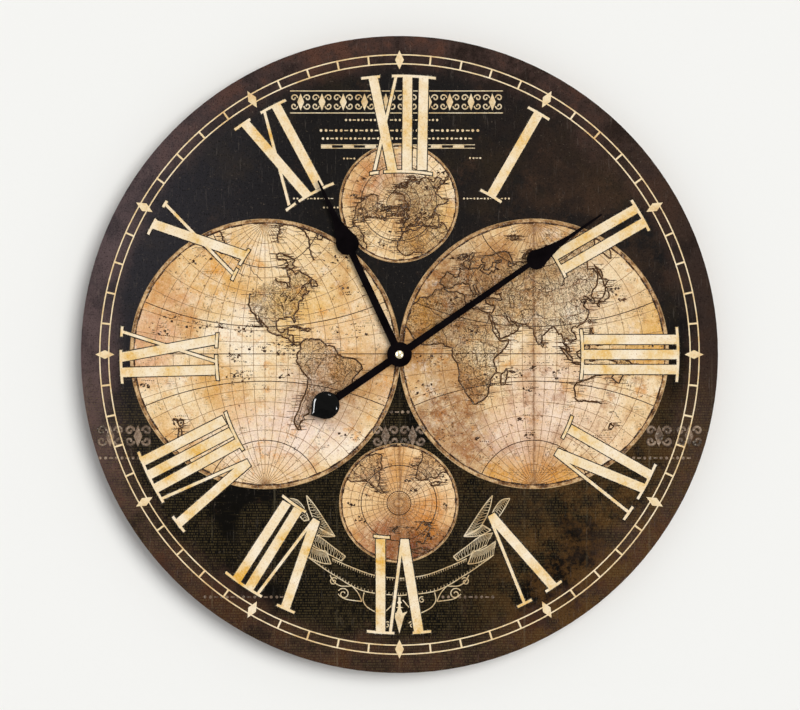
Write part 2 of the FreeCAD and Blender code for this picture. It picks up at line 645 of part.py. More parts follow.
def make_train():
    """Rotor, intermediate, second, third and centre wheels, on their arbors."""
    arbor = "train_arbor_radius"
    case_pivot = "%s - pivot_depth" % case_inner_front
    plate_pivot = levels("plate_pivot")[0]
    plate_back = levels("plate_pivot")[1]
    cover_pivot = "%s + pivot_depth" % levels("rear_cover")[0]
    magnet_front, magnet_back = levels("rotor_magnet")

    rotor = [
        rod("rotor_magnet", "magnet_radius", magnet_front, magnet_back, rotor_x, rotor_z),
        rod("rotor_arbor", arbor, plate_pivot, cover_pivot, rotor_x, rotor_z),
        gear("rotor_pinion", "train_pinion_teeth", "train_module", "rotor_pinion",
             rotor_x, rotor_z, "180 + rotor_bearing"),
    ]
    node(fuse("rotor", *rotor), "rotor")

    x, z = intermediate_x, intermediate_z
    intermediate = [
        gear("intermediate_disc", "intermediate_teeth", "train_module", "intermediate_wheel",
             x, z, "rotor_bearing"),
        gear("intermediate_pinion", "train_pinion_teeth", "train_module", "intermediate_pinion",
             x, z, "180 + intermediate_bearing"),
        rod("intermediate_arbor", arbor, plate_pivot, cover_pivot, x, z),
    ]
    node(fuse("intermediate_wheel", *intermediate), "intermediate_wheel")

    second = [
        gear("second_disc", "second_teeth", "train_module", "second_wheel",
             "0", hand_z, "intermediate_bearing"),
        gear("second_pinion", "train_pinion_teeth", "train_module", "second_pinion",
             "0", hand_z, "third_bearing"),
        rod("second_arbor", arbor, levels("second_pivot")[0], cover_pivot, "0", hand_z),
    ]
    node(fuse("second_wheel", *second), "second_wheel")

    third = [
        gear("third_disc", "third_teeth", "train_module", "third_wheel",
             third_x, third_z, "180 + third_bearing"),
        gear("third_pinion", "train_pinion_teeth", centre_module, "third_pinion",
             third_x, third_z, "180 + third_bearing"),
        rod("third_arbor", arbor, case_pivot, plate_back, third_x, third_z),
    ]
    node(fuse("third_wheel", *third), "third_wheel")

    front, back = levels("centre_wheel")
    disc = gear("centre_disc", "centre_teeth", centre_module, "centre_wheel", "0", hand_z, "third_bearing")
    bore = rod("centre_bore", "minute_arbor_radius + running_clearance", front + " - overrun",
               back + " + overrun", "0", hand_z)
    node(cut("centre_wheel", disc, bore), "centre_wheel")

    front, back = levels("clutch_spring")
    spring = ring("clutch_spring", "minute_arbor_radius", "clutch_radius",
                  "(%s) - (%s)" % (back, front), back, hand_z)
    node(spring, "clutch_spring")


def make_motor():
    """Stator plate, and the coil on the bar that closes it."""
    front, back = levels("stator")
    low, high = "%s - stator_height / 2" % rotor_z, "%s + stator_height / 2" % rotor_z
    inner, outer = "%s - stator_inner" % rotor_x, "%s + stator_outer" % rotor_x
    end = "%s + stator_reach" % rotor_x
    body = new_body("stator", y=back)
    sketch = new_sketch(body, "XZ_Plane")
    draw_outline(sketch, [
        (inner, low), (end, low), (end, low + " + stator_arm"), (outer, low + " + stator_arm"),
        (outer, high + " - stator_arm"), (end, high + " - stator_arm"), (end, high), (inner, high),
    ])
    draw_circle(sketch, "stator_hole_radius", rotor_x, rotor_z)
    pad(body, sketch, "(%s) - (%s)" % (back, front))
    node(body, "stator")

    front, back = levels("coil_core")
    coil_x = "(%s + coil_offset)" % rotor_x
    coil_y = "((%s + %s) / 2)" % (front, back)
    core_x = ("%s - core_width / 2" % coil_x, "%s + core_width / 2" % coil_x)
    node(box("coil_core", core_x, (front, back), (low, high)), "coil_core")

    half_length, half_width = "bobbin_length / 2", "bobbin_width / 2"
    across = ("%s - %s" % (coil_x, half_width), "%s + %s" % (coil_x, half_width))
    through = ("%s - %s" % (coil_y, half_width), "%s + %s" % (coil_y, half_width))
    coil_low, coil_high = "%s - %s" % (rotor_z, half_length), "%s + %s" % (rotor_z, half_length)
    winding_low, winding_high = coil_low + " + bobbin_flange", coil_high + " - bobbin_flange"
    hole = box("bobbin_hole", (core_x[0] + " - thread_clearance", core_x[1] + " + thread_clearance"),
               (front + " - thread_clearance", back + " + thread_clearance"),
               (coil_low + " - overrun", coil_high + " + overrun"))
    solid = fuse("bobbin_solid", box("flange_low", across, through, (coil_low, winding_low)),
                 box("flange_high", across, through, (winding_high, coil_high)),
                 upright("bobbin_tube", "bobbin_tube_radius", coil_low, coil_high, coil_x, coil_y))
    node(cut("coil_bobbin", solid, hole), "coil_bobbin")
    wound = upright("winding_solid", "winding_radius", winding_low, winding_high, coil_x, coil_y)
    inside = upright("winding_bore", "bobbin_tube_radius", coil_low, coil_high, coil_x, coil_y)
    node(cut("coil_winding", wound, inside), "coil_winding")


def make_electronics():
    front, back = levels("circuit_board")
    left = "(%s + contact_thickness)" % wall_left
    top = "(%s - circuit_inset)" % train_high
    body = new_body("circuit_board", y=back)
    sketch = new_sketch(body, "XZ_Plane")
    right, low = "%s + circuit_width" % left, "%s - circuit_height" % top
    draw_outline(sketch, rectangle((left, right), (low, top)))
    pad(body, sketch, "(%s) - (%s)" % (back, front))
    node(body, "circuit_board")

    chip = turned("chip", [
        ("0", "0"), ("chip_radius", "0"), ("chip_top_radius", "chip_height"), ("0", "chip_height"),
    ], x="-chip_left", y=back, z="%s + chip_high" % hand_z)
    node(chip, "chip")
    can = doc.addObject("Part::Cylinder", "quartz_crystal")
    can.Placement.Rotation = FreeCAD.Rotation(FreeCAD.Vector(0, 1, 0), 90)
    bind(can, "Radius", "crystal_radius")
    bind(can, "Height", "crystal_length")
    place(can, "-crystal_left", "%s + crystal_radius" % back, "%s + crystal_high" % hand_z)
    node(can, "quartz_crystal")


def make_contacts():
    """Strip at the cell's button end, and bent leaf at its flat end, both led to the circuit."""
    front, back = levels("contacts")
    t = "contact_thickness"
    circuit_low = "(%s - circuit_inset - circuit_height)" % train_high
    inner_left = "(%s + %s)" % (wall_left, t)
    inner_right = "(%s - %s)" % (wall_right, t)
    strip_x = "(%s + strip_gap)" % inner_left
    foot = "%s + leaf_inset" % bay_low
    positive = box("contact_positive", (wall_left, inner_left), (front, back),
                   (foot, circuit_low + " + contact_foot"))
    node(positive, "contact_positive")

    leaf = new_body("leaf", y=back)
    sketch = new_sketch(leaf, "XZ_Plane")
    tip = "(%s + contact_thickness + 2 * contact_clearance + cell_length)" % wall_left
    head = "%s - leaf_inset" % bay_high
    draw_outline(sketch, [
        (wall_right, foot), ("%s + %s" % (tip, t), cell_z), (wall_right, head),
        (inner_right, head), (tip, cell_z), (inner_right, foot),
    ])
    pad(leaf, sketch, "(%s) - (%s)" % (back, front))
    low, high = train_low, "%s + %s" % (train_low, t)
    back_strip = box("back_strip", (inner_right, wall_right), (front, back), (foot, high))
    floor_strip = box("floor_strip", (strip_x, wall_right), (front, back), (low, high))
    riser = box("riser_strip", (strip_x, "%s + %s" % (strip_x, t)), (front, back), (low, circuit_low))
    node(fuse("contact_negative", leaf, back_strip, floor_strip, riser), "contact_negative")


def make_battery():
    radius = "cell_diameter / 2"
    start = "(%s + contact_thickness + contact_clearance)" % wall_left
    cell = turned("battery", [
        ("0", "0"), ("0", "cell_nipple_radius"), ("cell_nipple_length", "cell_nipple_radius"),
        ("cell_nipple_length", radius + " - cell_edge"), ("cell_nipple_length + cell_edge", radius),
        ("cell_length - cell_edge", radius), ("cell_length", radius + " - cell_edge"), ("cell_length", "0"),
    ], axis="H_Axis", x=start, y="(%s - cell_clearance - cell_diameter / 2)" % case_back, z=cell_z)
    node(cell, "battery")


def make_knob():
    body = new_body("setting_knob", x=motion_x, y="-wall_gap", z=hand_z)
    sketch = new_sketch(body, "XZ_Plane")
    draw_circle(sketch, "knob_radius")
    draw_circle(sketch, "motion_arbor_radius")
    pad(body, sketch, "knob_thickness")
    groove = new_sketch(body, "XZ_Plane")
    draw_outline(groove, [
        ("knob_radius - knob_groove_depth", "0"),
        ("knob_radius + knob_groove_depth", "-2 * knob_groove_half"),
        ("knob_radius + knob_groove_depth", "2 * knob_groove_half"),
    ])
    cutter = pocket(body, groove, "knob_thickness")
    doc.recompute()
    around = body.newObject("PartDesign::PolarPattern", "knob_grooves_around")
    around.Originals = [cutter]
    around.Axis = (groove, ["N_Axis"])
    around.Angle = 360
    bind(around, "Occurrences", "knob_grooves")
    body.Tip = around
    node(body, "setting_knob")


def spade_side(kind):
    """One side of a spade hand, from its root to its tip, as (across, along)."""
    def size(name):
        return "%s_%s" % (kind, name)
    centre, radius, neck = size("spade_centre"), size("spade_radius"), size("neck_half")
    base = "%s - sqrt(%s ^ 2 - %s ^ 2)" % (centre, radius, neck)
    shoulder = ("%s * cos(shoulder_bearing)" % radius, "%s + %s * sin(shoulder_bearing)" % (centre, radius))
    return [
        (size("root_half"), "0"), (neck, base, radius, "right"),
        (*shoulder, size("flank_radius"), "left"), (size("flank_half"), size("flank_start")),
        ("tip_half", size("length")),
    ]


def both_sides(side):
    """Outline from one side and its mirror image."""
    mirrored = []
    for index in range(len(side) - 1, -1, -1):
        corner = ("-(%s)" % side[index][0], side[index][1])
        arc = side[index - 1][2:] if index else ()
        mirrored.append(corner + arc)
    return side + mirrored


def make_hour_hand():
    body = new_body("hour_hand", y=hour_hand_back, z=hand_z, turn="hour_turn")
    blade = new_sketch(body, "XZ_Plane")
    draw_outline(blade, both_sides(spade_side("hour")))
    pad(body, blade, "hand_thickness")
    hub = new_sketch(body, "XZ_Plane")
    draw_circle(hub, "hour_hub_radius")
    pad(body, hub, "hand_thickness")
    hole = new_sketch(body, "XZ_Plane")
    draw_circle(hole, "collet_radius + press_clearance")
    pocket(body, hole, "hand_thickness")
    node(body, "hour_hand")

    flange_front = "-collet_flange"
    collet = turned("hour_hand_collet", [
        (hour_pipe_radius, "0"), ("collet_flange_radius", "0"), ("collet_flange_radius", flange_front),
        ("collet_radius", flange_front), ("collet_radius", "-collet_length"),
        (hour_pipe_radius, "-collet_length"),
    ], y=collet_back, z=hand_z)
    node(collet, "hour_hand_collet")


def weight_corners():
    """Drop shape behind the hub: a large round, two straight flanks and a small round tip."""
    slant = "((weight_radius - weight_tip_radius) / weight_tip_offset)"
    rise = "sqrt(1 - %s ^ 2)" % slant
    big_x, small_x = "weight_radius * " + rise, "weight_tip_radius * " + rise
    big_z = "-(tail_length + weight_radius * %s)" % slant
    small_z = "-(tail_length + weight_tip_offset + weight_tip_radius * %s)" % slant
    top = "weight_radius - tail_length"
    return [
        ("0", top, "weight_radius", "left"), (big_x, big_z),
        (small_x, small_z, "weight_tip_radius", "left"),
        ("-" + small_x, small_z), ("-" + big_x, big_z, "weight_radius", "left"),
    ]


def make_minute_hand():
    body = new_body("minute_hand", y=minute_hand_back, z=hand_z, turn="minute_turn")
    blade = new_sketch(body, "XZ_Plane")
    draw_outline(blade, both_sides(spade_side("minute")))
    pad(body, blade, "hand_thickness")
    tail = new_sketch(body, "XZ_Plane")
    draw_outline(tail, [("-tail_half", "0"), ("-tail_half", "-tail_length"), ("tail_half", "-tail_length"),
                        ("tail_half", "0")])
    pad(body, tail, "hand_thickness")
    hub = new_sketch(body, "XZ_Plane")
    draw_circle(hub, "minute_hub_radius")
    pad(body, hub, "hand_thickness")
    hole = new_sketch(body, "XZ_Plane")
    draw_circle(hole, "minute_stub_radius")
    pocket(body, hole, "hand_thickness")
    node(body, "minute_hand")

    weight = new_body("counterweight", y=minute_hand_front, z=hand_z, turn="minute_turn")
    drop = new_sketch(weight, "XZ_Plane")
    draw_outline(drop, weight_corners())
    block = pad(weight, drop, "weight_thickness")
    doc.recompute()
    faces = block.Shape.Faces
    front = min(range(len(faces)), key=lambda index: faces[index].CenterOfMass.y)
    bevel = weight.newObject("PartDesign::Chamfer", "counterweight_bevel")
    bevel.Base = (block, ["Face%d" % (front + 1)])
    bind(bevel, "Size", "weight_bevel")
    node(weight, "counterweight")


def make_cap_nut():
    inner_front = "-(minute_stub_length - hand_thickness)"
    rise = "(cap_nut_height - cap_nut_rim)"
    crown = "((%s ^ 2 + cap_nut_radius ^ 2) / (2 * %s))" % (rise, rise)
    nut = turned("cap_nut", [
        ("minute_stub_radius", "0"), ("minute_stub_radius", inner_front), ("0", inner_front),
        ("0", "-cap_nut_height", crown, "right"), ("cap_nut_radius", "-cap_nut_rim"),
        ("cap_nut_radius", "0"),
    ], y=minute_hand_front, z=hand_z)
    node(nut, "cap_nut")


def check_and_write():
    doc.recompute()
    faults = [item.Label for item in doc.Objects if {"Invalid", "Error"} & set(item.State)]
    faults += [item.Label for item in nodes if item.Shape.isNull() or not item.Shape.isValid()]
    if faults:
        raise RuntimeError("faulty objects: " + ", ".join(faults))
    os.makedirs("parts", exist_ok=True)
    for item in nodes:
        item.Shape.exportStep(os.path.join("parts", item.Label + ".step"))
    print("%d sub-parts written" % len(nodes))


make_dial()
make_battens()
make_hanger()
make_case()
make_rear_cover()
make_middle_plate()
make_bush_and_fasteners()
make_wheel_work()
make_train()
make_motor()
make_electronics()
make_contacts()
make_battery()
make_knob()
make_hour_hand()
make_minute_hand()
make_cap_nut()
check_and_write()
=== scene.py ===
import math
import random

import bmesh
import bpy
from mathutils import Matrix, Vector


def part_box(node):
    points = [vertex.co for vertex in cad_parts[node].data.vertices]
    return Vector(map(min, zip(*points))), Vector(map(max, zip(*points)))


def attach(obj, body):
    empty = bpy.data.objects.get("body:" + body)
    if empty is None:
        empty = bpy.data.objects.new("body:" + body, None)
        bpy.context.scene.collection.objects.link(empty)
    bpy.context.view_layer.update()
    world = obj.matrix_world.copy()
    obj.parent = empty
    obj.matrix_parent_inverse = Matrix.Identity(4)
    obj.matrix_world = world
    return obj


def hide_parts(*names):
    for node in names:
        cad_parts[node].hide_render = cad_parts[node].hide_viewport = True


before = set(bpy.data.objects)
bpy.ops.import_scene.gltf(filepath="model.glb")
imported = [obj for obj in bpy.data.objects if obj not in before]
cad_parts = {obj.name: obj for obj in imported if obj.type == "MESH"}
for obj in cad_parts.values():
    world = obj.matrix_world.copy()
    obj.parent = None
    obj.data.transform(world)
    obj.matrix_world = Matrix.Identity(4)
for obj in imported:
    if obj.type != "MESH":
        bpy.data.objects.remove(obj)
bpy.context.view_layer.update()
scene = bpy.context.scene
print("clock: frame loaded")

# flat artwork is drawn in millimetres about the middle of the dial: x right, y up, z to the viewer
dial = {
    "centre": (0.0, -0.0253, -0.165),
    "pixel": 0.94172,  # millimetres of the dial for one pixel of the photograph
    "middle": (399.456, 354.502),
    "sheet": 0.04,  # thickness of one printed layer
}
layers = {  # heights of the printed layers above the face
    "paper": 0.0, "trim": 0.02, "land": 0.04, "grid": 0.09, "outline": 0.12, "coast": 0.14, "gold": 0.22,
}
onDial = (
    Matrix.Translation(dial["centre"])
    @ Matrix.Rotation(math.radians(90), 4, "X")
    @ Matrix.Scale(0.001, 4)
)


def spot(x, y):
    # a place on the photograph, in pixels, as millimetres on the dial
    scale = dial["pixel"]
    return Vector(((x - dial["middle"][0]) * scale, (dial["middle"][1] - y) * scale))


def shade(text):
    parts = [int(text[i : i + 2], 16) / 255 for i in (0, 2, 4)]
    linear = [p / 12.92 if p <= 0.04045 else ((p + 0.055) / 1.055) ** 2.4 for p in parts]
    return (*linear, 1.0)


def put(tree, kind, feeds=None, **settings):
    node = tree.nodes.new("ShaderNode" + kind)
    for key, value in settings.items():
        setattr(node, key, value)
    for key, value in (feeds or {}).items():
        if isinstance(value, bpy.types.NodeSocket):
            tree.links.new(value, node.inputs[key])
        else:
            node.inputs[key].default_value = value
    return node


def sums(tree, operation, *values):
    return put(tree, "Math", dict(enumerate(values)), operation=operation).outputs[0]


def times(tree, first, *others):
    for other in others:
        first = sums(tree, "MULTIPLY", first, other)
    return first


def mixed(tree, factor, first, second):
    return put(tree, "Mix", {0: factor, 6: first, 7: second}, data_type="RGBA").outputs[2]


def washed(tree, base, amount, tint):
    return mixed(tree, amount, base, shade(tint))


def between(tree, value, low, high, start=0.0, stop=1.0, smooth=False):
    feeds = {"Value": value, "From Min": low, "From Max": high, "To Min": start, "To Max": stop}
    kind = "SMOOTHSTEP" if smooth else "LINEAR"
    return put(tree, "MapRange", feeds, interpolation_type=kind).outputs[0]


def clouds(tree, where, scale, detail=3.0, roughness=0.5):
    feeds = {"Vector": where, "Scale": scale, "Detail": detail, "Roughness": roughness}
    return put(tree, "TexNoise", feeds).outputs[0]


def stretched(tree, where, scales, turn=(0.0, 0.0, 0.0)):
    return put(tree, "Mapping", {"Vector": where, "Scale": scales, "Rotation": turn}).outputs[0]


def toned(tree, value, stops):
    ramp = put(tree, "ValToRGB", {0: value})
    band = ramp.color_ramp.elements
    while len(band) < len(stops):
        band.new(0.5)
    for element, (position, tint) in zip(band, stops):
        element.position = position
        element.color = shade(tint)
    return ramp.outputs[0]


def newFinish(name, roughness=0.5, specular=0.5, metallic=0.0):
    material = bpy.data.materials.new(name)
    material.use_nodes = True
    tree = material.node_tree
    shader = tree.nodes["Principled BSDF"]
    shader.inputs["Roughness"].default_value = roughness
    shader.inputs["Specular IOR Level"].default_value = specular
    shader.inputs["Metallic"].default_value = metallic
    where = put(tree, "TexCoord").outputs["Object"]
    return material, tree, shader, where


def wire(tree, shader, base, rough=None, height=None, depth=0.0001, strength=0.5):
    tree.links.new(base, shader.inputs["Base Color"])
    if rough is not None:
        tree.links.new(rough, shader.inputs["Roughness"])
    if height is not None:
        bump = put(tree, "Bump", {"Height": height, "Distance": depth, "Strength": strength})
        tree.links.new(bump.outputs[0], shader.inputs["Normal"])


def printRows(tree, where, pitch, fineness, patchScale, patchLow):
    # short dashes in level rows, only in patches: worn print too small to read
    axes = put(tree, "SeparateXYZ", {0: where}).outputs
    row = times(tree, axes[2], 1 / pitch)
    number = sums(tree, "FLOOR", row)
    along = times(tree, axes[0], fineness)
    spread = put(tree, "CombineXYZ", {0: along, 1: times(tree, number, 7.31)}).outputs[0]
    dash = between(tree, clouds(tree, spread, 1.0, 2.0), 0.47, 0.53)
    inRow = sums(tree, "PINGPONG", row, 0.5)
    band = between(tree, inRow, 0.16, 0.26)
    patch = between(tree, clouds(tree, where, patchScale, 2.0), patchLow, patchLow + 0.08)
    return times(tree, dash, band, patch)


faceLook = {
    "upper": "1c1a19", "lower": "0b0906", "warm": "35271e", "olive": "33291a", "patch": "523a2b",
    # left: a pale rim tint that paints a sheen on the left side
    "deep": "2b201b", "rim": "44332d", "rust": "583b2f", "left": "604c48", "right": "2e251f",
    # coolSheen: a cool pale tint that paints a sheen over the left side
    "foot": "402717", "corner": "543a1d", "glow": "4c3727", "coolSheen": "45434a",
    "scratch": "857a6e", "pit": "090705", "dust": "978671", "weave": "705f3c", "seam": "8b7f63",
    "rimStart": 0.258, "rimEnd": 0.287,
    # the rim's two sides: tint, amount, and from where to where; the pale left tint is a painted sheen
    "sides": [("left", 0.95, -0.16, -0.27), ("right", 0.8, 0.13, 0.27)],
    # brown patches: tint, amount, place and size
    "browns": [
        ("corner", 0.9, (0.2, 0.0, -0.17), 0.17), ("corner", 0.9, (0.16, 0.0, -0.235), 0.09),
        ("glow", 0.5, (0.17, 0.0, 0.13), 0.12),
    ],
    "rows": (0.0025, 1150.0, 16.0, 0.34),
}


def darkPrint(look):
    material, tree, shader, where = newFinish("darkPrint", 0.55, 0.012)
    centred = put(tree, "Mapping", {"Vector": where, "Location": (0.0, 0.0, 0.165)}).outputs[0]
    axes = put(tree, "SeparateXYZ", {0: centred}).outputs
    wobble = clouds(tree, where, 9.0, 8.0, 0.68)
    height = sums(tree, "ADD", axes[2], between(tree, wobble, 0.0, 1.0, -0.09, 0.09))
    upper = between(tree, height, -0.05, 0.06, smooth=True)
    base = mixed(tree, upper, shade(look["lower"]), shade(look["upper"]))
    # browner on the right, with olive and rusty clouds
    right = between(tree, axes[0], 0.02, 0.22, 0.0, 0.8)
    base = washed(tree, base, times(tree, right, between(tree, wobble, 0.45, 0.58)), look["warm"])
    smudge = between(tree, clouds(tree, where, 15.0, 10.0, 0.76), 0.5, 0.66, 0.0, 0.5)
    base = washed(tree, base, smudge, look["olive"])
    rusty = between(tree, clouds(tree, where, 22.0, 9.0, 0.78), 0.57, 0.7, 0.0, 0.5)
    base = washed(tree, base, rusty, look["patch"])
    # the mottled rim: paler on the left as a painted sheen, darker on the right, browner at the foot
    radius = put(tree, "VectorMath", {0: centred}, operation="LENGTH").outputs["Value"]
    edge = sums(tree, "ADD", radius, between(tree, wobble, 0.0, 1.0, -0.03, 0.03))
    rim = between(tree, edge, look["rimStart"], look["rimEnd"], smooth=True)
    mottle = clouds(tree, where, 26.0, 10.0, 0.74)
    rimTone = toned(tree, mottle, [(0.4, look["deep"]), (0.5, look["rim"]), (0.6, look["rust"])])
    base = mixed(tree, times(tree, rim, 0.9), base, rimTone)
    patches = between(tree, mottle, 0.4, 0.55, 0.35, 1.0)
    above = between(tree, axes[2], -0.17, -0.02)
    for tint, amount, near, far in look["sides"]:
        side = between(tree, axes[0], near, far, 0.0, amount)
        base = washed(tree, base, times(tree, side, rim, above, patches), look[tint])
    foot = between(tree, axes[2], -0.1, -0.25)
    patches = between(tree, mottle, 0.4, 0.56, 0.1, 0.85)
    base = washed(tree, base, times(tree, foot, rim, patches), look["foot"])
    blotch = clouds(tree, where, 34.0, 12.0, 0.8)
    for tint, amount, place, size in look["browns"]:
        gap = put(tree, "VectorMath", {0: centred, 1: place}, operation="DISTANCE").outputs["Value"]
        reach = sums(tree, "ADD", gap, between(tree, wobble, 0.0, 1.0, -0.09, 0.09))
        brown = between(tree, blotch, 0.45, 0.57, 0.0, amount)
        base = washed(tree, base, times(tree, between(tree, reach, size, size * 0.2), brown), look[tint])
    # a cool pale tint towards the left, stronger higher up: painted sheen
    left = between(tree, axes[0], -0.08, -0.26, 0.0, 0.36)
    base = washed(tree, base, times(tree, left, between(tree, height, -0.14, 0.1)), look["coolSheen"])
    # fine upright scratches, grain, dust, and faint rows of worn print low down
    scratch = clouds(tree, stretched(tree, where, (1.0, 1.0, 0.08)), 560.0, 4.0, 0.7)
    base = washed(tree, base, between(tree, scratch, 0.6, 0.78, 0.0, 0.3), look["scratch"])
    grain = clouds(tree, where, 820.0, 4.0, 0.7)
    base = washed(tree, base, between(tree, grain, 0.48, 0.34, 0.0, 0.75), look["pit"])
    dust = between(tree, clouds(tree, where, 420.0, 5.0, 0.8), 0.61, 0.74, 0.0, 0.42)
    base = washed(tree, base, dust, look["dust"])
    low = between(tree, height, 0.0, -0.06)
    level = clouds(tree, stretched(tree, where, (0.08, 1.0, 1.0)), 620.0, 3.0, 0.65)
    rows = times(tree, printRows(tree, where, *look["rows"]), low)
    streaks = sums(tree, "MAXIMUM", between(tree, level, 0.58, 0.7, 0.0, 0.4), rows)
    base = washed(tree, base, times(tree, streaks, low, 0.27), look["weave"])
    column = sums(tree, "PINGPONG", times(tree, axes[0], 17.0), 0.5)
    worn = between(tree, mottle, 0.45, 0.62, 0.0, 0.16)
    seam = times(tree, between(tree, column, 0.02, 0.008), worn, low)
    base = washed(tree, base, seam, look["seam"])
    rough = between(tree, clouds(tree, where, 60.0, 5.0), 0.3, 0.7, 0.46, 0.68)
    wire(tree, shader, base, rough, sums(tree, "ADD", scratch, grain), 0.00006, 0.3)
    return material


# tones run from dark to pale; mottle is tint, scale, start, end and amount; a stain is x, z, size, tint
# and amount; fold is where a crease runs
paperLook = {
    "paperWest": {
        "tones": [(0.32, "cf9a58"), (0.43, "eac48a"), (0.52, "f6dbae"), (0.64, "feeccf")],
        "mottle": [
            ("e2952c", 44.0, 0.56, 0.65, 0.75), ("c27a34", 70.0, 0.56, 0.66, 0.5),
            ("a2622c", 210.0, 0.58, 0.68, 0.55), ("fff2de", 55.0, 0.57, 0.68, 0.5),
        ],
        "landTint": 0.08,
        "stains": [
            (-0.222, -0.125, 0.05, "cf8a4e", 0.75), (-0.245, -0.165, 0.045, "dc9f7c", 0.65),
            (-0.165, -0.085, 0.05, "e0a54c", 0.75), (-0.1, -0.125, 0.045, "e9b85d", 0.6),
            (-0.17, -0.195, 0.034, "d99a3c", 0.75), (-0.055, -0.145, 0.05, "e2a656", 0.6),
            (-0.155, -0.222, 0.02, "e0a040", 0.8), (-0.02, -0.185, 0.04, "c98a45", 0.75),
            (-0.085, -0.225, 0.055, "fbe4d4", 0.85), (-0.13, -0.25, 0.06, "f8dfcc", 0.75),
            (-0.066, -0.192, 0.05, "a87038", 0.8), (-0.12, -0.275, 0.03, "e9b868", 0.6),
            (-0.095, -0.06, 0.03, "eec98c", 0.7), (-0.2, -0.245, 0.03, "d98f3a", 0.5),
        ],
        "rows": 0.6,
    },
    "paperEast": {
        "tones": [(0.32, "b9834a"), (0.44, "dcae74"), (0.53, "efcf9c"), (0.66, "fbe8ca")],
        "mottle": [
            ("de9230", 42.0, 0.56, 0.65, 0.72), ("a0622c", 60.0, 0.53, 0.63, 0.6),
            ("8a5527", 190.0, 0.56, 0.66, 0.6), ("fff0da", 48.0, 0.57, 0.68, 0.55),
        ],
        "landTint": 0.03, "fold": 0.1268,
        "stains": [
            (0.055, -0.1, 0.062, "8d5f36", 0.9), (0.03, -0.155, 0.05, "a06f3a", 0.75),
            (0.04, -0.225, 0.05, "94603a", 0.85), (0.075, -0.255, 0.045, "a3704a", 0.8),
            (0.13, -0.09, 0.06, "b4946a", 0.5), (0.11, -0.24, 0.045, "f3d0b6", 0.85),
            (0.15, -0.21, 0.056, "fbe3cd", 0.9), (0.19, -0.235, 0.045, "f8dab4", 0.8),
            (0.225, -0.14, 0.05, "eab95e", 0.75), (0.245, -0.165, 0.035, "e0a043", 0.7),
            (0.125, -0.28, 0.028, "cf862c", 0.9), (0.155, -0.288, 0.03, "d8942f", 0.85),
            (0.095, -0.285, 0.025, "dd9d3b", 0.8), (0.125, -0.2, 0.012, "c58a4c", 0.6),
            (0.02, -0.135, 0.03, "d1963d", 0.7), (0.165, -0.2, 0.014, "e0a540", 0.7),
            (0.18, -0.115, 0.06, "fbe8c6", 0.8),
        ],
        "rows": 0.85,
    },
    "paperNorth": {
        "tones": [(0.33, "b57c42"), (0.42, "e0b072"), (0.5, "f1cf98"), (0.6, "fbe5c0")],
        "mottle": [
            ("e29a3c", 55.0, 0.56, 0.65, 0.55), ("a8602c", 70.0, 0.54, 0.64, 0.5),
            ("7c4a22", 200.0, 0.55, 0.65, 0.65), ("f6dcb0", 60.0, 0.57, 0.68, 0.5),
        ],
        "landTint": 0.08,
        "stains": [
            (-0.03, -0.005, 0.03, "c07a44", 0.85), (-0.038, -0.03, 0.022, "ecc489", 0.8),
            (0.01, -0.055, 0.03, "d39a4b", 0.7), (0.0, 0.005, 0.02, "b0683c", 0.7),
            (0.04, -0.03, 0.02, "e6b869", 0.6), (0.012, -0.02, 0.03, "a68a60", 0.5),
        ],
        "rows": 0.7,
    },
    "paperSouth": {
        "tones": [(0.34, "a8682f"), (0.44, "d59c5c"), (0.53, "ecc087"), (0.64, "f8d9aa")],
        "mottle": [
            ("a8531f", 66.0, 0.54, 0.64, 0.55), ("7c421e", 200.0, 0.56, 0.66, 0.6),
            ("f4d6a6", 60.0, 0.58, 0.68, 0.45),
        ],
        "landTint": 0.04, "fold": -0.0003,
        "stains": [
            (0.015, -0.335, 0.042, "8e4c26", 0.9), (-0.02, -0.345, 0.034, "a25a2c", 0.9),
            (0.012, -0.352, 0.044, "7a3a1c", 1.0), (0.035, -0.345, 0.03, "6a3620", 0.9),
            (0.03, -0.315, 0.026, "d5862f", 0.85), (-0.005, -0.315, 0.022, "a9713f", 0.7),
            (-0.035, -0.3, 0.03, "ecc58c", 0.7), (0.0, -0.27, 0.02, "dd9c4a", 0.8),
            (-0.02, -0.275, 0.018, "d1a47c", 0.6), (0.02, -0.28, 0.02, "c8996a", 0.7),
        ],
        "rows": 0.5,
    },
}


engraving = {
    # creases: tint, amount and half width
    "creases": [("c08a52", 0.4, 0.013), ("7a4c28", 0.75, 0.0021)],
    "dark": "80522a", "pale": "fff3dd", "fleck": "462b17", "clump": "452a15", "row": "5a3c22",
    "land": "96602c", "line": "341e0c", "speckle": "3d2612",
    "rows": (0.0022, 1700.0, 85.0, 0.58),
}


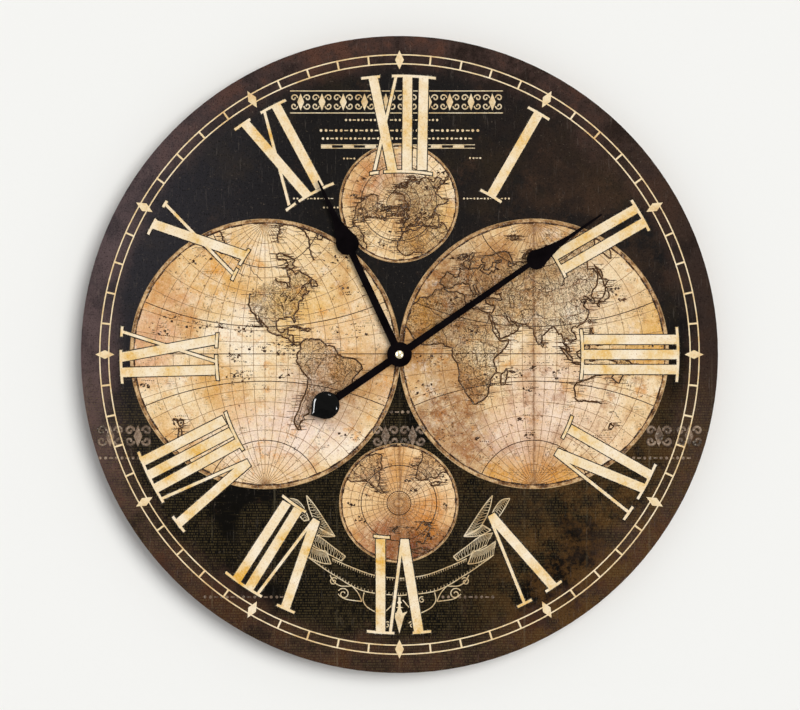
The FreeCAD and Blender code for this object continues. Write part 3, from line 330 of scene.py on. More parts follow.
def mapPaper(name, look, engraved=False):
    material, tree, shader, where = newFinish(name, 0.6, 0.03)
    stirred = where  # the noise bends itself, so that the stains have uneven edges
    for scale, reach in ((19.0, 0.055), (95.0, 0.014)):
        swirl = put(tree, "TexNoise", {"Vector": where, "Scale": scale, "Detail": 6.0}).outputs[1]
        nudge = put(tree, "VectorMath", {0: swirl, 1: (0.5, 0.5, 0.5)}, operation="SUBTRACT").outputs[0]
        drift = put(tree, "VectorMath", {0: nudge, "Scale": reach}, operation="SCALE").outputs[0]
        stirred = put(tree, "VectorMath", {0: stirred, 1: drift}, operation="ADD").outputs[0]
    flat = put(tree, "VectorMath", {0: stirred, 1: (1.0, 0.0, 1.0)}, operation="MULTIPLY").outputs[0]
    base = toned(tree, clouds(tree, stirred, 21.0, 10.0, 0.72), look["tones"])
    patchy = between(tree, clouds(tree, where, 120.0, 8.0, 0.78), 0.4, 0.56, 0.35, 1.0)
    for x, z, size, tint, amount in look["stains"]:
        gap = put(tree, "VectorMath", {0: flat, 1: (x, 0.0, z)}, operation="DISTANCE").outputs["Value"]
        spread = between(tree, gap, size * 1.05, size * 0.25, 0.0, amount, True)
        base = washed(tree, base, times(tree, spread, patchy), tint)
    for tint, scale, low, high, amount in look["mottle"]:
        blotch = between(tree, clouds(tree, where, scale, 8.0, 0.78), low, high, 0.0, amount)
        base = washed(tree, base, blotch, tint)
    if "fold" in look:
        axes = put(tree, "SeparateXYZ", {0: where}).outputs
        sway = between(tree, clouds(tree, where, 34.0, 5.0), 0.0, 1.0, -0.002, 0.002)
        bent = sums(tree, "ADD", axes[0], sway)
        off = sums(tree, "ABSOLUTE", sums(tree, "SUBTRACT", bent, look["fold"]))
        for tint, amount, reach in engraving["creases"]:
            crease = between(tree, off, reach, reach * 0.2, 0.0, amount)
            base = washed(tree, base, times(tree, crease, patchy), tint)
    fibre = clouds(tree, where, 680.0, 6.0, 0.8)
    base = washed(tree, base, between(tree, fibre, 0.48, 0.34, 0.0, 0.42), engraving["dark"])
    base = washed(tree, base, between(tree, fibre, 0.54, 0.68, 0.0, 0.4), engraving["pale"])
    # specks and small clumps, as printed islands and foxing, and short rows too small to read
    fleck = between(tree, clouds(tree, where, 330.0, 3.0, 0.6), 0.66, 0.7, 0.0, 0.8)
    base = washed(tree, base, fleck, engraving["fleck"])
    clump = between(tree, clouds(tree, where, 430.0, 4.0, 0.7), 0.52, 0.6)
    region = between(tree, clouds(tree, where, 75.0, 4.0, 0.65), 0.57, 0.64, 0.0, 0.85)
    base = washed(tree, base, times(tree, clump, region), engraving["clump"])
    rows = printRows(tree, where, *engraving["rows"])
    base = washed(tree, base, times(tree, rows, look["rows"] * 0.8), engraving["row"])
    if engraved:
        # hill strokes: thin contours of a fine noise, and grain, thicker in places
        hills = clouds(tree, where, 165.0, 4.0, 0.68)
        lines = between(tree, sums(tree, "PINGPONG", times(tree, hills, 6.5), 0.5), 0.2, 0.08)
        speckle = between(tree, clouds(tree, where, 760.0, 4.0, 0.85), 0.49, 0.57)
        dense = between(tree, clouds(tree, where, 44.0, 6.0, 0.7), 0.38, 0.58, 0.55, 1.0)
        base = washed(tree, base, look["landTint"], engraving["land"])
        base = washed(tree, base, times(tree, lines, dense, 0.95), engraving["line"])
        base = washed(tree, base, times(tree, speckle, dense, 0.58), engraving["speckle"])
    rough = between(tree, fibre, 0.3, 0.7, 0.52, 0.7)
    wire(tree, shader, base, rough, fibre, 0.00004, 0.35)
    return material


inkLook = {
    "goldPrint": {
        "tones": [(0.34, "e5ad44"), (0.41, "ecc785"), (0.49, "f1d8ac"), (0.62, "f8e7ca")],
        "patch": 33.0, "fleck": "bd8a44", "amount": 0.8,
    },
    "ringPrint": {
        "tones": [(0.36, "dcb377"), (0.5, "efd5a6"), (0.64, "f6e3c2")], "patch": 40.0,
        "fleck": "b98d55", "amount": 0.5,
    },
    "creamPrint": {
        "tones": [(0.35, "cfa972"), (0.5, "e8cfa2"), (0.65, "f4e2c2")], "patch": 60.0,
        "fleck": "8a6a44", "amount": 0.5,
    },
    "edgePrint": {
        "tones": [(0.36, "80603d"), (0.5, "b08c5c"), (0.64, "d0b080")], "patch": 50.0,
        "fleck": "4c341f", "amount": 0.8,
    },
    "mutedPrint": {
        "tones": [(0.37, "40362d"), (0.5, "786351"), (0.64, "a08871")], "patch": 70.0,
        "fleck": "1c1610", "amount": 0.8,
    },
    "rimPrint": {
        "tones": [(0.4, "563820"), (0.5, "a57a4c"), (0.6, "dab684")], "patch": 90.0, "fleck": "6a4428",
        "amount": 0.9,
    },
    "fineInk": {
        "tones": [(0.35, "7d5431"), (0.5, "9c7047"), (0.66, "b58a5d")], "patch": 90.0,
        "fleck": "5c3a1e", "amount": 0.6,
    },
    "darkInk": {
        "tones": [(0.35, "2b180c"), (0.52, "452b18"), (0.68, "6a4529")], "patch": 90.0,
        "fleck": "1c0f07", "amount": 0.6,
    },
    "coastTint": {
        "tones": [(0.35, "6e4727"), (0.5, "9a6f43"), (0.66, "bf9463")], "patch": 120.0,
        "fleck": "452a14", "amount": 0.8,
    },
    "shadowInk": {
        "tones": [(0.35, "0f0b08"), (0.52, "1c140e"), (0.68, "2d2119")], "patch": 80.0,
        "fleck": "080604", "amount": 0.5,
    },
}


def lineInk(name, look):
    material, tree, shader, where = newFinish(name, 0.6, 0.03)
    base = toned(tree, clouds(tree, where, look["patch"], 8.0, 0.72), look["tones"])
    grain = clouds(tree, where, 620.0, 5.0, 0.8)
    base = washed(tree, base, between(tree, grain, 0.55, 0.68, 0.0, look["amount"]), look["fleck"])
    base = washed(tree, base, between(tree, grain, 0.46, 0.36, 0.0, 0.3), "fff4de")
    wire(tree, shader, base, between(tree, grain, 0.3, 0.7, 0.5, 0.7), grain, 0.00004, 0.4)
    return material


print("clock: print finishes")
inks = {name: lineInk(name, look) for name, look in inkLook.items()}
papers = {name: mapPaper(name, look) for name, look in paperLook.items()}
lands = {name: mapPaper(name.replace("paper", "land"), look, True) for name, look in paperLook.items()}


def finishPiece(name, bm, material, body="clock", place=onDial, merge=True):
    if merge:
        bmesh.ops.remove_doubles(bm, verts=bm.verts, dist=1e-5)
        bmesh.ops.recalc_face_normals(bm, faces=bm.faces)
    bm.transform(place)
    mesh = bpy.data.meshes.new(name)
    bm.to_mesh(mesh)
    bm.free()
    mesh.materials.append(material)
    piece = bpy.data.objects.new(name, mesh)
    scene.collection.objects.link(piece)
    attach(piece, body)
    return piece


def curveOf(lines, filled):
    curve = bpy.data.curves.new("drawn", "CURVE")
    curve.dimensions = "2D" if filled else "3D"
    for points in lines:
        spline = curve.splines.new("POLY")
        spline.points.add(len(points) - 1)
        for target, point in zip(spline.points, points):
            target.co = (point[0], point[1], 0.0, 1.0)
        spline.use_cyclic_u = filled
    return curve


def takeMesh(bm, curve, place):
    holder = bpy.data.objects.new("drawn", curve)
    mesh = bpy.data.meshes.new_from_object(holder)
    mesh.transform(place)
    bm.from_mesh(mesh)
    bpy.data.objects.remove(holder)
    bpy.data.curves.remove(curve)
    bpy.data.meshes.remove(mesh)


def drawLines(bm, lines, width, level):
    # a drawn line: a four-sided tube along the points, pressed flat
    curve = curveOf(lines, False)
    curve.bevel_depth = width / 2
    curve.bevel_resolution = 0
    curve.use_fill_caps = True
    lift = Matrix.Translation((0, 0, level + dial["sheet"] / 2))
    takeMesh(bm, curve, lift @ Matrix.Diagonal((1, 1, dial["sheet"] / width, 1)))


def fillShapes(bm, outlines, level):
    curve = curveOf(outlines, True)
    curve.fill_mode = "BOTH"
    curve.extrude = dial["sheet"] / 2
    takeMesh(bm, curve, Matrix.Translation((0, 0, level + dial["sheet"] / 2)))


def lifted(bm, faces, height):
    raised = bmesh.ops.extrude_face_region(bm, geom=faces)["geom"]
    corners = [item for item in raised if isinstance(item, bmesh.types.BMVert)]
    bmesh.ops.translate(bm, verts=corners, vec=(0, 0, height))
    return corners, [item for item in raised if isinstance(item, bmesh.types.BMFace)]


def disc(bm, centre, radius, level, sides):
    middle = Matrix.Translation((centre[0], centre[1], level))
    made = bmesh.ops.create_circle(bm, cap_ends=True, segments=sides, radius=radius, matrix=middle)
    lifted(bm, [made["verts"][0].link_faces[0]], dial["sheet"])


def hoop(bm, centre, inner, outer, level, sides):
    top = level + dial["sheet"]
    profile = ((inner, level), (outer, level), (outer, top), (inner, top))
    corners = [bm.verts.new((centre[0] + reach, centre[1], z)) for reach, z in profile]
    edges = [bm.edges.new((corners[i], corners[i - 1])) for i in range(4)]
    bmesh.ops.spin(
        bm, geom=corners + edges, cent=(centre[0], centre[1], 0), axis=(0, 0, 1), angle=math.tau,
        steps=sides, use_merge=True,
    )


def slab(bm, matrix, sides=0):
    # a block, or with sides a flat lozenge or bead, put in place by the matrix
    if sides:
        size = {"radius1": 0.5, "radius2": 0.5, "depth": 1.0}
        made = bmesh.ops.create_cone(bm, cap_ends=True, segments=sides, **size)
    else:
        made = bmesh.ops.create_cube(bm, size=1.0)
    bmesh.ops.transform(bm, verts=made["verts"], matrix=matrix)


def blockAt(x, y, level, width, height):
    place = Matrix.Translation((x, y, level + dial["sheet"] / 2))
    return place @ Matrix.Diagonal((width, height, dial["sheet"], 1.0))


ringLook = {
    "inner": 290.7, "outer": 299.7, "line": 1.25, "sides": 240, "barWidth": 1.8,
    "lozengeLength": 19.0, "lozengeWidth": 8.8, "lozengeMiddle": 294.6,
}


def makeChapterRing():
    # two ring lines, minute bars and hour lozenges
    scale = dial["pixel"]
    bm = bmesh.new()
    for radius in (ringLook["inner"], ringLook["outer"]):
        inner, outer = ((radius + half * ringLook["line"] / 2) * scale for half in (-1, 1))
        hoop(bm, (0, 0), inner, outer, layers["gold"], ringLook["sides"])
    finishPiece("ringLines", bm, inks["ringPrint"])
    bm = bmesh.new()
    middle = (ringLook["outer"] + ringLook["inner"]) / 2 * scale
    long = (ringLook["outer"] - ringLook["inner"]) * scale
    for minute in range(60):
        if minute % 5:
            turn = Matrix.Rotation(-math.tau * minute / 60, 4, "Z")
            bar = blockAt(0, middle, layers["gold"] + 0.02, ringLook["barWidth"] * scale, long)
            slab(bm, turn @ bar)
    finishPiece("minuteBars", bm, inks["ringPrint"])
    bm = bmesh.new()
    for hour in range(12):
        turn = Matrix.Rotation(-math.tau * hour / 12, 4, "Z")
        size = (ringLook["lozengeWidth"] * scale, ringLook["lozengeLength"] * scale)
        slab(bm, turn @ blockAt(0, ringLook["lozengeMiddle"] * scale, layers["gold"] + 0.04, *size), 4)
    finishPiece("hourLozenges", bm, inks["ringPrint"])


numeralLook = {
    "inside": 184.5, "outside": 277.5, "thick": 9.4, "thin": 2.9, "serif": 2.6, "outline": 1.0,
    "serifOutside": 278.6, "serifInside": 183.3,
    "step": 0.015,  # each stroke lies this much over the one before it
}
wide = numeralLook["thick"]
slim = numeralLook["thin"]
# each hour's strokes as outer place, inner place and width, then its outer and inner serifs
numerals = {
    1: ([(0, 0, wide)], [(-12.3, 12.3)], [(-12.2, 12.2)]),
    2: ([(-8, -8, wide), (8, 8, wide)], [(-17.7, 17.7)], [(-16, 16)]),
    3: ([(-15, -15, wide), (0, 0, wide), (15, 15, wide)], [(-27.5, 27.5)], [(-25, 25)]),
    4: ([(-21, -20.6, wide), (-6, 6.7, wide), (22, 8.2, slim)], [(-33, 6), (15, 31)], [(-33, -9)]),
    5: ([(-17, 1.5, wide), (16, 3.0, slim)], [(-27, -8), (8, 24)], []),
    6: (
        [(-19.4, -4.3, wide), (9.1, -2.8, slim), (18.9, 18.9, wide)],
        [(-31.7, -13.3), (5.1, 32.6)], [(9.7, 25.7)],
    ),
    7: (
        [(-28, -10, wide), (3, -8.5, slim), (13.5, 10.5, wide), (28.5, 23.6, wide)],
        [(-38.3, -18.9), (-1.9, 41.7)], [(2.4, 30.8)],
    ),
    8: (
        [(-36, -17.5, wide), (-6, -16, slim), (6, 4, wide), (21, 17, wide), (36, 31, wide)],
        [(-46, -27), (-9.9, 46.2)], [(-4.6, 37.3)],
    ),
    9: (
        [(-17.9, -15.5, wide), (-2.6, 14.7, wide), (22.9, -6.7, slim)],
        [(-29, 4.5), (18, 28)], [(-25.7, -0.5), (7, 21.3)],
    ),
    10: (
        [(-9.8, 8.3, wide), (13.1, -13.3, slim)],
        [(-21.6, -4.3), (9.5, 16.7)], [(-19.2, -6.8), (-2.2, 16)],
    ),
    11: (
        [(-18.1, -0.5, wide), (4.4, -20.9, slim), (17.6, 14.5, wide)],
        [(-30.3, -11.5), (0.6, 28.8)], [(-26.3, -14.3), (-10.7, 28.7)],
    ),
    12: (
        [(-26.5, -7.1, wide), (-3.5, -24.9, slim), (8.1, 7.5, wide), (24.3, 22.5, wide)],
        [(-38.1, -19.4), (-7.5, 36.4)], [(-29.5, -20.9), (-15.5, 32.7)],
    ),
}
vaults = {4: 1, 5: 0, 6: 0, 7: 0, 8: 0}  # the thick stroke of a V, cut along the thin one after it


def strokeMatrix(outerPlace, innerPlace, width, low, high, level):
    scale = dial["pixel"]
    lean = Matrix.Identity(4)
    lean[0][0] = width * scale
    lean[0][1] = (outerPlace - innerPlace) * scale
    lean[1][1] = (high - low) * scale
    lean[2][2] = dial["sheet"]
    across, up = (outerPlace + innerPlace) / 2 * scale, (high + low) / 2 * scale
    return Matrix.Translation((across, up, level + dial["sheet"] / 2)) @ lean


def serifBar(bm, start, stop, radius, thickness, level):
    # a short bar bent round the middle of the dial
    scale = dial["pixel"]
    made = bmesh.ops.create_grid(bm, x_segments=6, y_segments=1, size=0.5)["verts"]
    for vert in made:
        across = (start + (stop - start) * (vert.co.x + 0.5)) * scale
        out = (radius + thickness * vert.co.y) * scale
        vert.co = (across, math.sqrt(out * out - across * across), level)
    lifted(bm, list({face for vert in made for face in vert.link_faces}), dial["sheet"])


def poured(target, source):
    bmesh.ops.recalc_face_normals(source, faces=source.faces)
    keep = bpy.data.meshes.new("drawn")
    source.to_mesh(keep)
    source.free()
    target.from_mesh(keep)
    bpy.data.meshes.remove(keep)


def makeNumerals(name, material, level, grow):
    scale = dial["pixel"]
    whole = bmesh.new()
    low = numeralLook["inside"] - grow
    high = numeralLook["outside"] + grow
    for hour, (strokes, outerSerifs, innerSerifs) in numerals.items():
        bm = bmesh.new()
        for count, (outerPlace, innerPlace, width) in enumerate(strokes):
            part = bmesh.new()
            lift = level + numeralLook["step"] * count
            slab(part, strokeMatrix(outerPlace, innerPlace, width + 2 * grow, low, high, lift))
            if vaults.get(hour) == count:
                thinOuter, thinInner, thinWidth = strokes[count + 1]
                side = thinWidth / 2 + grow
                foot = Vector(((thinInner + side) * scale, low * scale, 0))
                run = Vector(((thinOuter - thinInner) * scale, (high - low) * scale, 0))
                normal = Vector((run.y, -run.x, 0))
                geom = part.verts[:] + part.edges[:] + part.faces[:]
                bmesh.ops.bisect_plane(part, geom=geom, plane_co=foot, plane_no=normal, clear_outer=True)
                bmesh.ops.holes_fill(part, edges=[e for e in part.edges if e.is_boundary])
            poured(bm, part)
        thick = numeralLook["serif"] + 2 * grow
        for spans, radius in ((outerSerifs, "serifOutside"), (innerSerifs, "serifInside")):
            for start, stop in spans:
                lift = level + 5 * numeralLook["step"]
                serifBar(bm, start - grow, stop + grow, numeralLook[radius], thick, lift)
        bm.transform(Matrix.Rotation(-math.tau * hour / 12, 4, "Z"))
        poured(whole, bm)
    finishPiece(name, whole, material, merge=False)


makeChapterRing()
makeNumerals("numeralOutlines", inks["shadowInk"], layers["outline"], numeralLook["outline"])
makeNumerals("romanNumerals", inks["goldPrint"], layers["gold"], 0.0)
print("clock: ring and numerals")

# coasts as longitude and latitude in round figures, some as an old map has them
coasts = {
    "northAmerica": [
        (-94.7, 59), (-92.5, 57), (-88, 56.5), (-82.3, 55), (-82, 52.9), (-80, 51.2), (-79, 52),
        (-79.5, 54.5), (-76.5, 57), (-78.5, 59), (-77.5, 62.3), (-73.5, 62.3), (-70, 61), (-69.5, 59),
        (-66, 58.8), (-64.5, 60.3), (-61.5, 57), (-57.5, 54.5), (-55.7, 52), (-60, 50.2), (-66.5, 50.2),
        (-69, 48.5), (-65, 49.2), (-64.5, 47.8), (-65, 46.2), (-61.5, 45.6), (-64, 44.5), (-66, 43.5),
        (-66.5, 45), (-69, 44), (-70.7, 43), (-70, 41.7), (-74, 40.6), (-75.5, 38), (-76, 35.3),
        (-78, 33.9), (-81, 32), (-81.3, 30), (-80.1, 26.5), (-81, 25.2), (-82.7, 28), (-84, 30),
        (-86.5, 30.4), (-89.2, 30.2), (-89.5, 29), (-91.5, 29.5), (-94.7, 29.4), (-97.3, 27.5),
        (-97.6, 24), (-97.8, 22.3), (-96, 19.2), (-94.5, 18.2), (-92, 18.6), (-90.7, 19.5), (-90.3, 21),
        (-87, 21.5), (-87.6, 18.5), (-88.5, 16), (-86, 15.9), (-83.3, 15), (-83.7, 11), (-82, 9),
        (-79.8, 9.5), (-77.4, 8.6), (-78.2, 7.5), (-80, 7.4), (-81.7, 7.6), (-83, 8.3), (-85.7, 10.2),
        (-87.6, 13), (-91.5, 14), (-94, 16.1), (-96.5, 15.7), (-99.8, 16.8), (-102.5, 18),
        (-105.5, 20.3), (-105.5, 22.7), (-108.5, 25.3), (-112.2, 29), (-114.7, 31.7), (-112.8, 28),
        (-110.5, 24.8), (-109.5, 23), (-112, 25), (-115, 28.5), (-116.5, 31), (-117.2, 32.6),
        (-118.5, 34), (-120.6, 34.6), (-122.5, 37.7), (-124.3, 40.4), (-124, 44), (-124.6, 48.3),
        (-122.5, 48), (-119, 52), (-109, 57),
    ],
    "southAmerica": [
        (-77.4, 8.6), (-75.5, 10.6), (-74, 11.2), (-71.7, 12.4), (-71.5, 11), (-69, 11.8), (-66, 10.6),
        (-62, 10.7), (-60.8, 8.8), (-57.5, 6), (-52.5, 5), (-50.5, 1.5), (-49.5, -0.5), (-44.5, -2.7),
        (-40, -2.9), (-37, -4.8), (-35.2, -6), (-34.8, -8), (-37, -11.5), (-39, -14), (-39.2, -18),
        (-41, -22), (-44, -23), (-48, -25.5), (-48.7, -28.3), (-52, -32.5), (-54.5, -34.7),
        (-58.3, -34), (-57.3, -36.2), (-62, -39), (-65, -41), (-63.8, -42.7), (-65.5, -45),
        (-67.5, -46.5), (-65.8, -48), (-69, -51), (-68.5, -53), (-65.3, -54.8), (-68, -55.8),
        (-72, -54), (-75, -52), (-75.5, -48.5), (-74, -44.5), (-73.5, -40), (-73, -37), (-71.5, -32),
        (-70.4, -27), (-70.3, -20), (-71.5, -17.5), (-76, -14), (-78, -10), (-81, -6), (-80, -3),
        (-80.8, -1), (-80, 0.8), (-78.5, 2.5), (-77.3, 4.5), (-77.8, 7.2),
    ],
    "greenland": [
        (-73, 78.3), (-66, 80.8), (-60, 82), (-45, 82.5), (-30, 83.5), (-20, 81.5), (-18, 77),
        (-20, 74), (-24, 71), (-31, 68.2), (-38, 65.8), (-41.5, 63), (-43.5, 60), (-47.5, 61),
        (-51, 64), (-53.5, 67), (-51.5, 69.5), (-55, 72), (-58, 75.5), (-66, 76.3),
    ],
    "baffin": [
        (-62, 66.5), (-68, 70), (-78, 73.2), (-85, 73.5), (-86, 70.8), (-79, 69.8), (-73, 68),
        (-73, 65), (-78, 64.5), (-70, 62.6), (-65.5, 62.5), (-68, 64.5),
    ],
    "newfoundland": [(-59.3, 47.6), (-57.5, 50.5), (-55.5, 51.5), (-53, 48.5), (-53.5, 46.7)],
    "cuba": [
        (-84.9, 21.9), (-82.5, 23.1), (-79, 22.5), (-75, 20.6), (-77.3, 19.9), (-78, 21), (-82, 22.3),
    ],
    "hispaniola": [(-74.4, 18.5), (-73, 20), (-70, 19.8), (-68.4, 18.6), (-71.5, 17.8)],
    "iceland": [(-24, 65.5), (-20, 66.2), (-14.5, 66), (-14, 64.5), (-19, 63.4), (-22.6, 64)],
    "britain": [
        (-5.7, 50.1), (-3, 50.7), (1.3, 51.2), (1.7, 52.7), (-1.2, 54.6), (-2, 57.5), (-3.2, 58.6),
        (-5.1, 58.5), (-5.6, 56.3), (-3.3, 54.8), (-4.5, 53.3), (-4.8, 51.8), (-3, 51.4),
    ],
    "ireland": [(-10, 51.6), (-6.3, 52.2), (-5.7, 54.6), (-8, 55.3), (-9.9, 54)],
    "africa": [
        (-5.9, 35.8), (-2, 35.1), (3, 36.9), (10, 37.3), (11, 33.8), (15.3, 32.2), (20, 30.9),
        (22, 32.8), (25, 31.6), (29, 30.9), (32.3, 31), (32.6, 29.9), (34, 27), (35.7, 23.8),
        (37.2, 21), (37.4, 18.6), (39.7, 15.3), (43.2, 11.7), (44.5, 10.4), (51.2, 11.8), (50.8, 9.2),
        (48, 4.3), (43.5, 0), (40, -3), (39, -6.5), (40.6, -10.8), (40.6, -15), (36.9, -17.9),
        (34.8, -20), (35.4, -24), (32.8, -26), (32.2, -29), (28.5, -32.8), (25, -34), (20, -34.8),
        (18.4, -34), (17.8, -31.5), (15.2, -27), (14.4, -22.5), (11.8, -17.5), (13.5, -12.5),
        (12.3, -6), (9.5, -2), (9.5, 3.5), (6, 4.3), (2.5, 6.3), (-3, 5), (-7.7, 4.4), (-11.5, 6.9),
        (-13.3, 9), (-16.8, 12.5), (-17.4, 14.7), (-16.2, 19), (-17, 21), (-14.5, 26), (-11.5, 28),
        (-9.7, 30.5), (-9.2, 32.6), (-6.5, 34.2),
    ],
    "madagascar": [
        (49.3, -12), (50.4, -15.6), (49.5, -18), (47, -25), (44, -25), (43.4, -22), (44.3, -20),
        (44.3, -16.3), (47.5, -15),
    ],
    "eurasia": [
        (32.9, 29.9), (34.9, 29.5), (36.5, 26), (39.1, 21.5), (42.7, 16.5), (43.5, 12.7), (45, 12.8),
        (48.7, 14), (52.2, 15.7), (55.3, 17.5), (57.8, 19), (59.8, 22.5), (56.4, 24.9), (56.3, 26.2),
        (54, 24.2), (51.5, 24.5), (51.3, 26), (50, 26.7), (48, 30), (50.5, 29.8), (51.5, 27.8),
        (54.5, 26.6), (57, 27), (58, 25.6), (62, 25.1), (66.7, 25), (67.5, 23.8), (69, 22.3),
        (72.5, 21), (72.8, 19), (73.5, 16), (74.8, 13), (76.3, 9.8), (77.5, 8.1), (79.8, 10.3),
        (80.2, 13), (80.2, 15.5), (82.3, 16.6), (86, 20), (88, 21.8), (91.5, 22.5), (92.3, 20.8),
        (94.3, 18), (94.3, 16), (97, 17), (98.6, 13), (98.5, 9.5), (100.4, 6.3), (101.3, 2.8),
        (103.8, 1.3), (103.4, 4.5), (101, 6.9), (99.3, 9.3), (100, 13.3), (102.5, 12), (104.8, 8.7),
        (106.7, 10.5), (109.3, 12), (108.8, 15.3), (106, 18.5), (106.7, 20.7), (109.5, 21.5),
        (110.3, 20.5), (113.5, 22.2), (117, 23.5), (119.7, 26), (121.8, 29), (121.8, 31.5),
        (119.3, 34.8), (120.8, 36.3), (122.5, 37.2), (119, 37.3), (118, 39), (121.5, 39.2),
        (121.8, 40.8), (125, 39.5), (126.3, 36.8), (126.5, 34.4), (129.2, 35.3), (129.2, 37.3),
        (127.6, 39.5), (130.5, 42.3), (135.3, 43.8), (140.3, 48.3), (141, 52.5), (138, 53.8),
        (136, 54.7), (140, 57.7), (143.2, 59.3), (152, 59), (155, 59.3), (160.2, 61.8), (163.5, 61.6),
        (161.8, 58), (155.8, 56.8), (156, 51.8), (156.9, 51), (160, 53), (162, 55.7), (163.3, 58.2),
        (166, 60), (170.5, 60), (177.5, 62.5), (179, 64.5), (187, 64.3), (190, 66), (180, 68.9),
        (171, 69.9), (160.5, 69.6), (152, 71), (140, 72.5), (130, 71.3), (127, 73.5), (118, 73),
        (113.5, 74), (104.3, 77.7), (98, 76.2), (87, 75), (80.8, 72.5), (78, 72), (73, 71.5),
        (68.5, 73), (67, 69.5), (61, 69.7), (54, 68.8), (46, 68.3), (43.5, 66.3), (40, 64.6),
        (36.5, 64.4), (34, 66.6), (41, 66.8), (35, 69), (29, 70.8), (22, 70.3), (16, 68.6),
        (12.5, 65.5), (10, 63.7), (5.2, 61.8), (5.3, 59), (8, 58), (10.6, 59.3), (11.8, 57.8),
        (12.8, 55.5), (16, 56.3), (18.8, 59.5), (17.2, 61.5), (21.5, 64.5), (24, 65.8), (25.3, 64.9),
        (21.3, 62.3), (22.5, 60), (28, 60.2), (24, 59.3), (23.5, 58.3), (24, 57.2), (21.2, 56.8),
        (19.7, 54.4), (14.3, 54), (10.8, 54), (10.6, 57.6), (8.2, 56.8), (8.6, 54), (5, 53.2),
        (3.3, 51.4), (1.6, 50.6), (-1.3, 49.5), (-1.6, 48.7), (-4.7, 48.4), (-2, 47), (-1.2, 44.5),
        (-1.8, 43.4), (-8, 43.7), (-9.2, 43), (-8.8, 40), (-9.4, 38.7), (-8.9, 37), (-6.3, 36.7),
        (-5.4, 36.3), (-2, 36.8), (-0.5, 38.3), (0.2, 40), (3.2, 42), (3.2, 43.3), (6.5, 43.2),
        (8.8, 44.4), (10.3, 43.3), (12.3, 41.7), (15.6, 40), (16, 38), (17.1, 39), (16.7, 40.5),
        (18.4, 40.2), (16, 41.8), (13.6, 43.5), (12.3, 44.9), (13.7, 45.6), (15, 44.5), (19.4, 41.9),
        (20, 39.8), (21.3, 37), (22.8, 36.5), (23.5, 38), (22.8, 40.3), (26, 40.9), (29, 41.4),
        (28, 43.5), (30.7, 46.3), (33.5, 46), (33.5, 44.5), (36.5, 45.3), (39, 47), (37.5, 44.8),
        (41.5, 42), (38, 41), (33, 42), (29.2, 40.8), (26.5, 39.5), (27.5, 36.9), (30.5, 36.5),
        (32.7, 36.2), (36, 36.6), (35.8, 34), (34.3, 31.3), (32.8, 31.2),
    ],
    "novaya": [(52, 71), (57, 70.7), (56, 73.5), (68, 76.8), (60, 76), (53, 73)],
    "spitsbergen": [(11, 79), (21, 80.3), (27, 80), (20, 77.5), (15, 76.7)],
    "honshu": [
        (131, 34), (135.5, 33.6), (140, 35), (141.8, 39.5), (140.5, 41.3), (139.5, 38.5), (136.5, 36.5),
        (132.5, 35.4),
    ],
    "hokkaido": [(140.3, 41.6), (145.4, 43.3), (142, 45.4), (141, 43.3)],
    "kyushu": [(130, 33.5), (131.8, 33), (131, 31.2), (129.8, 32.5)],
    "sakhalin": [(142, 46), (144.5, 49), (142.8, 54.3), (142, 50)],
    "formosa": [(120.2, 23), (121, 25), (121.8, 24.5), (120.8, 22)],
    "luzon": [(120.3, 16), (120.7, 18.5), (122.2, 18.4), (121.7, 15), (124, 13), (120.6, 13.9)],
    "mindanao": [(122, 7), (123.8, 8.5), (126.3, 9.3), (126.3, 6.5), (125, 6)],
    "borneo": [
        (109, 1.5), (111.5, 2.5), (113.5, 4), (116.8, 7), (119, 5.2), (117.5, 1), (116, -4),
        (112, -3.4), (110, -1.5),
    ],
    "sumatra": [
        (95.3, 5.6), (98.5, 3.8), (103.5, -1), (106, -3.5), (105.8, -5.9), (102.3, -4), (98.7, 1.6),
    ],
    "java": [(105.3, -6.8), (108.5, -6.5), (112.5, -6.9), (114.5, -8.6), (110, -8.1), (106.5, -7.4)],
    "celebes": [
        (119, -3), (120, 1), (125, 1.5), (121, 0.3), (121.5, -1.5), (123, -4.5), (120.5, -5.5),
        (119.5, -5),
    ],
    "newGuinea": [
        (131, -0.8), (134, -0.8), (135, -3.3), (138, -1.6), (145, -4.3), (148, -6.5), (150.8, -10.5),
        (147, -9.6), (143, -9), (138, -8.3), (137.8, -5.3), (133, -4), (132, -2.8),
    ],
    "ceylon": [(79.8, 8), (80.2, 9.7), (81.8, 7.5), (80.6, 6)],
    "australia": [
        (142.5, -10.8), (141.6, -14), (140.8, -17.5), (139, -17.3), (135.5, -15), (136.8, -12.2),
        (132.5, -11.3), (130, -13), (128, -15), (124, -15.5), (119.5, -18.5), (114.5, -20.8),
        (110.5, -22.5), (109, -26.5), (111, -31), (111.5, -34), (115, -35.3), (119, -34.4),
        (124, -33.5), (129, -32.4), (133.5, -32.1), (137.7, -35), (140, -38), (143.6, -38.8),
        (146.3, -39), (149.9, -37.4), (151.3, -33.8), (153.2, -29), (153, -25.3), (149, -20.5),
        (146, -18.8), (145.3, -15),
    ],
    "tasmania": [(144.7, -40.8), (148.2, -40.9), (147.5, -43.2), (146, -43.4)],
    "northIsland": [
        (172.8, -34.5), (175.5, -36.7), (178.5, -37.8), (177, -39.5), (175.3, -41.6), (174, -39.3),
        (174.7, -37),
    ],
    "southIsland": [
        (172.7, -40.6), (174.2, -41.5), (171, -44.5), (170.5, -46), (167, -46.2), (168, -44),
    ],
}
# how many of the last points have no drawn coast
openEnds = {"northAmerica": 2, "australia": 11, "greenland": 7}
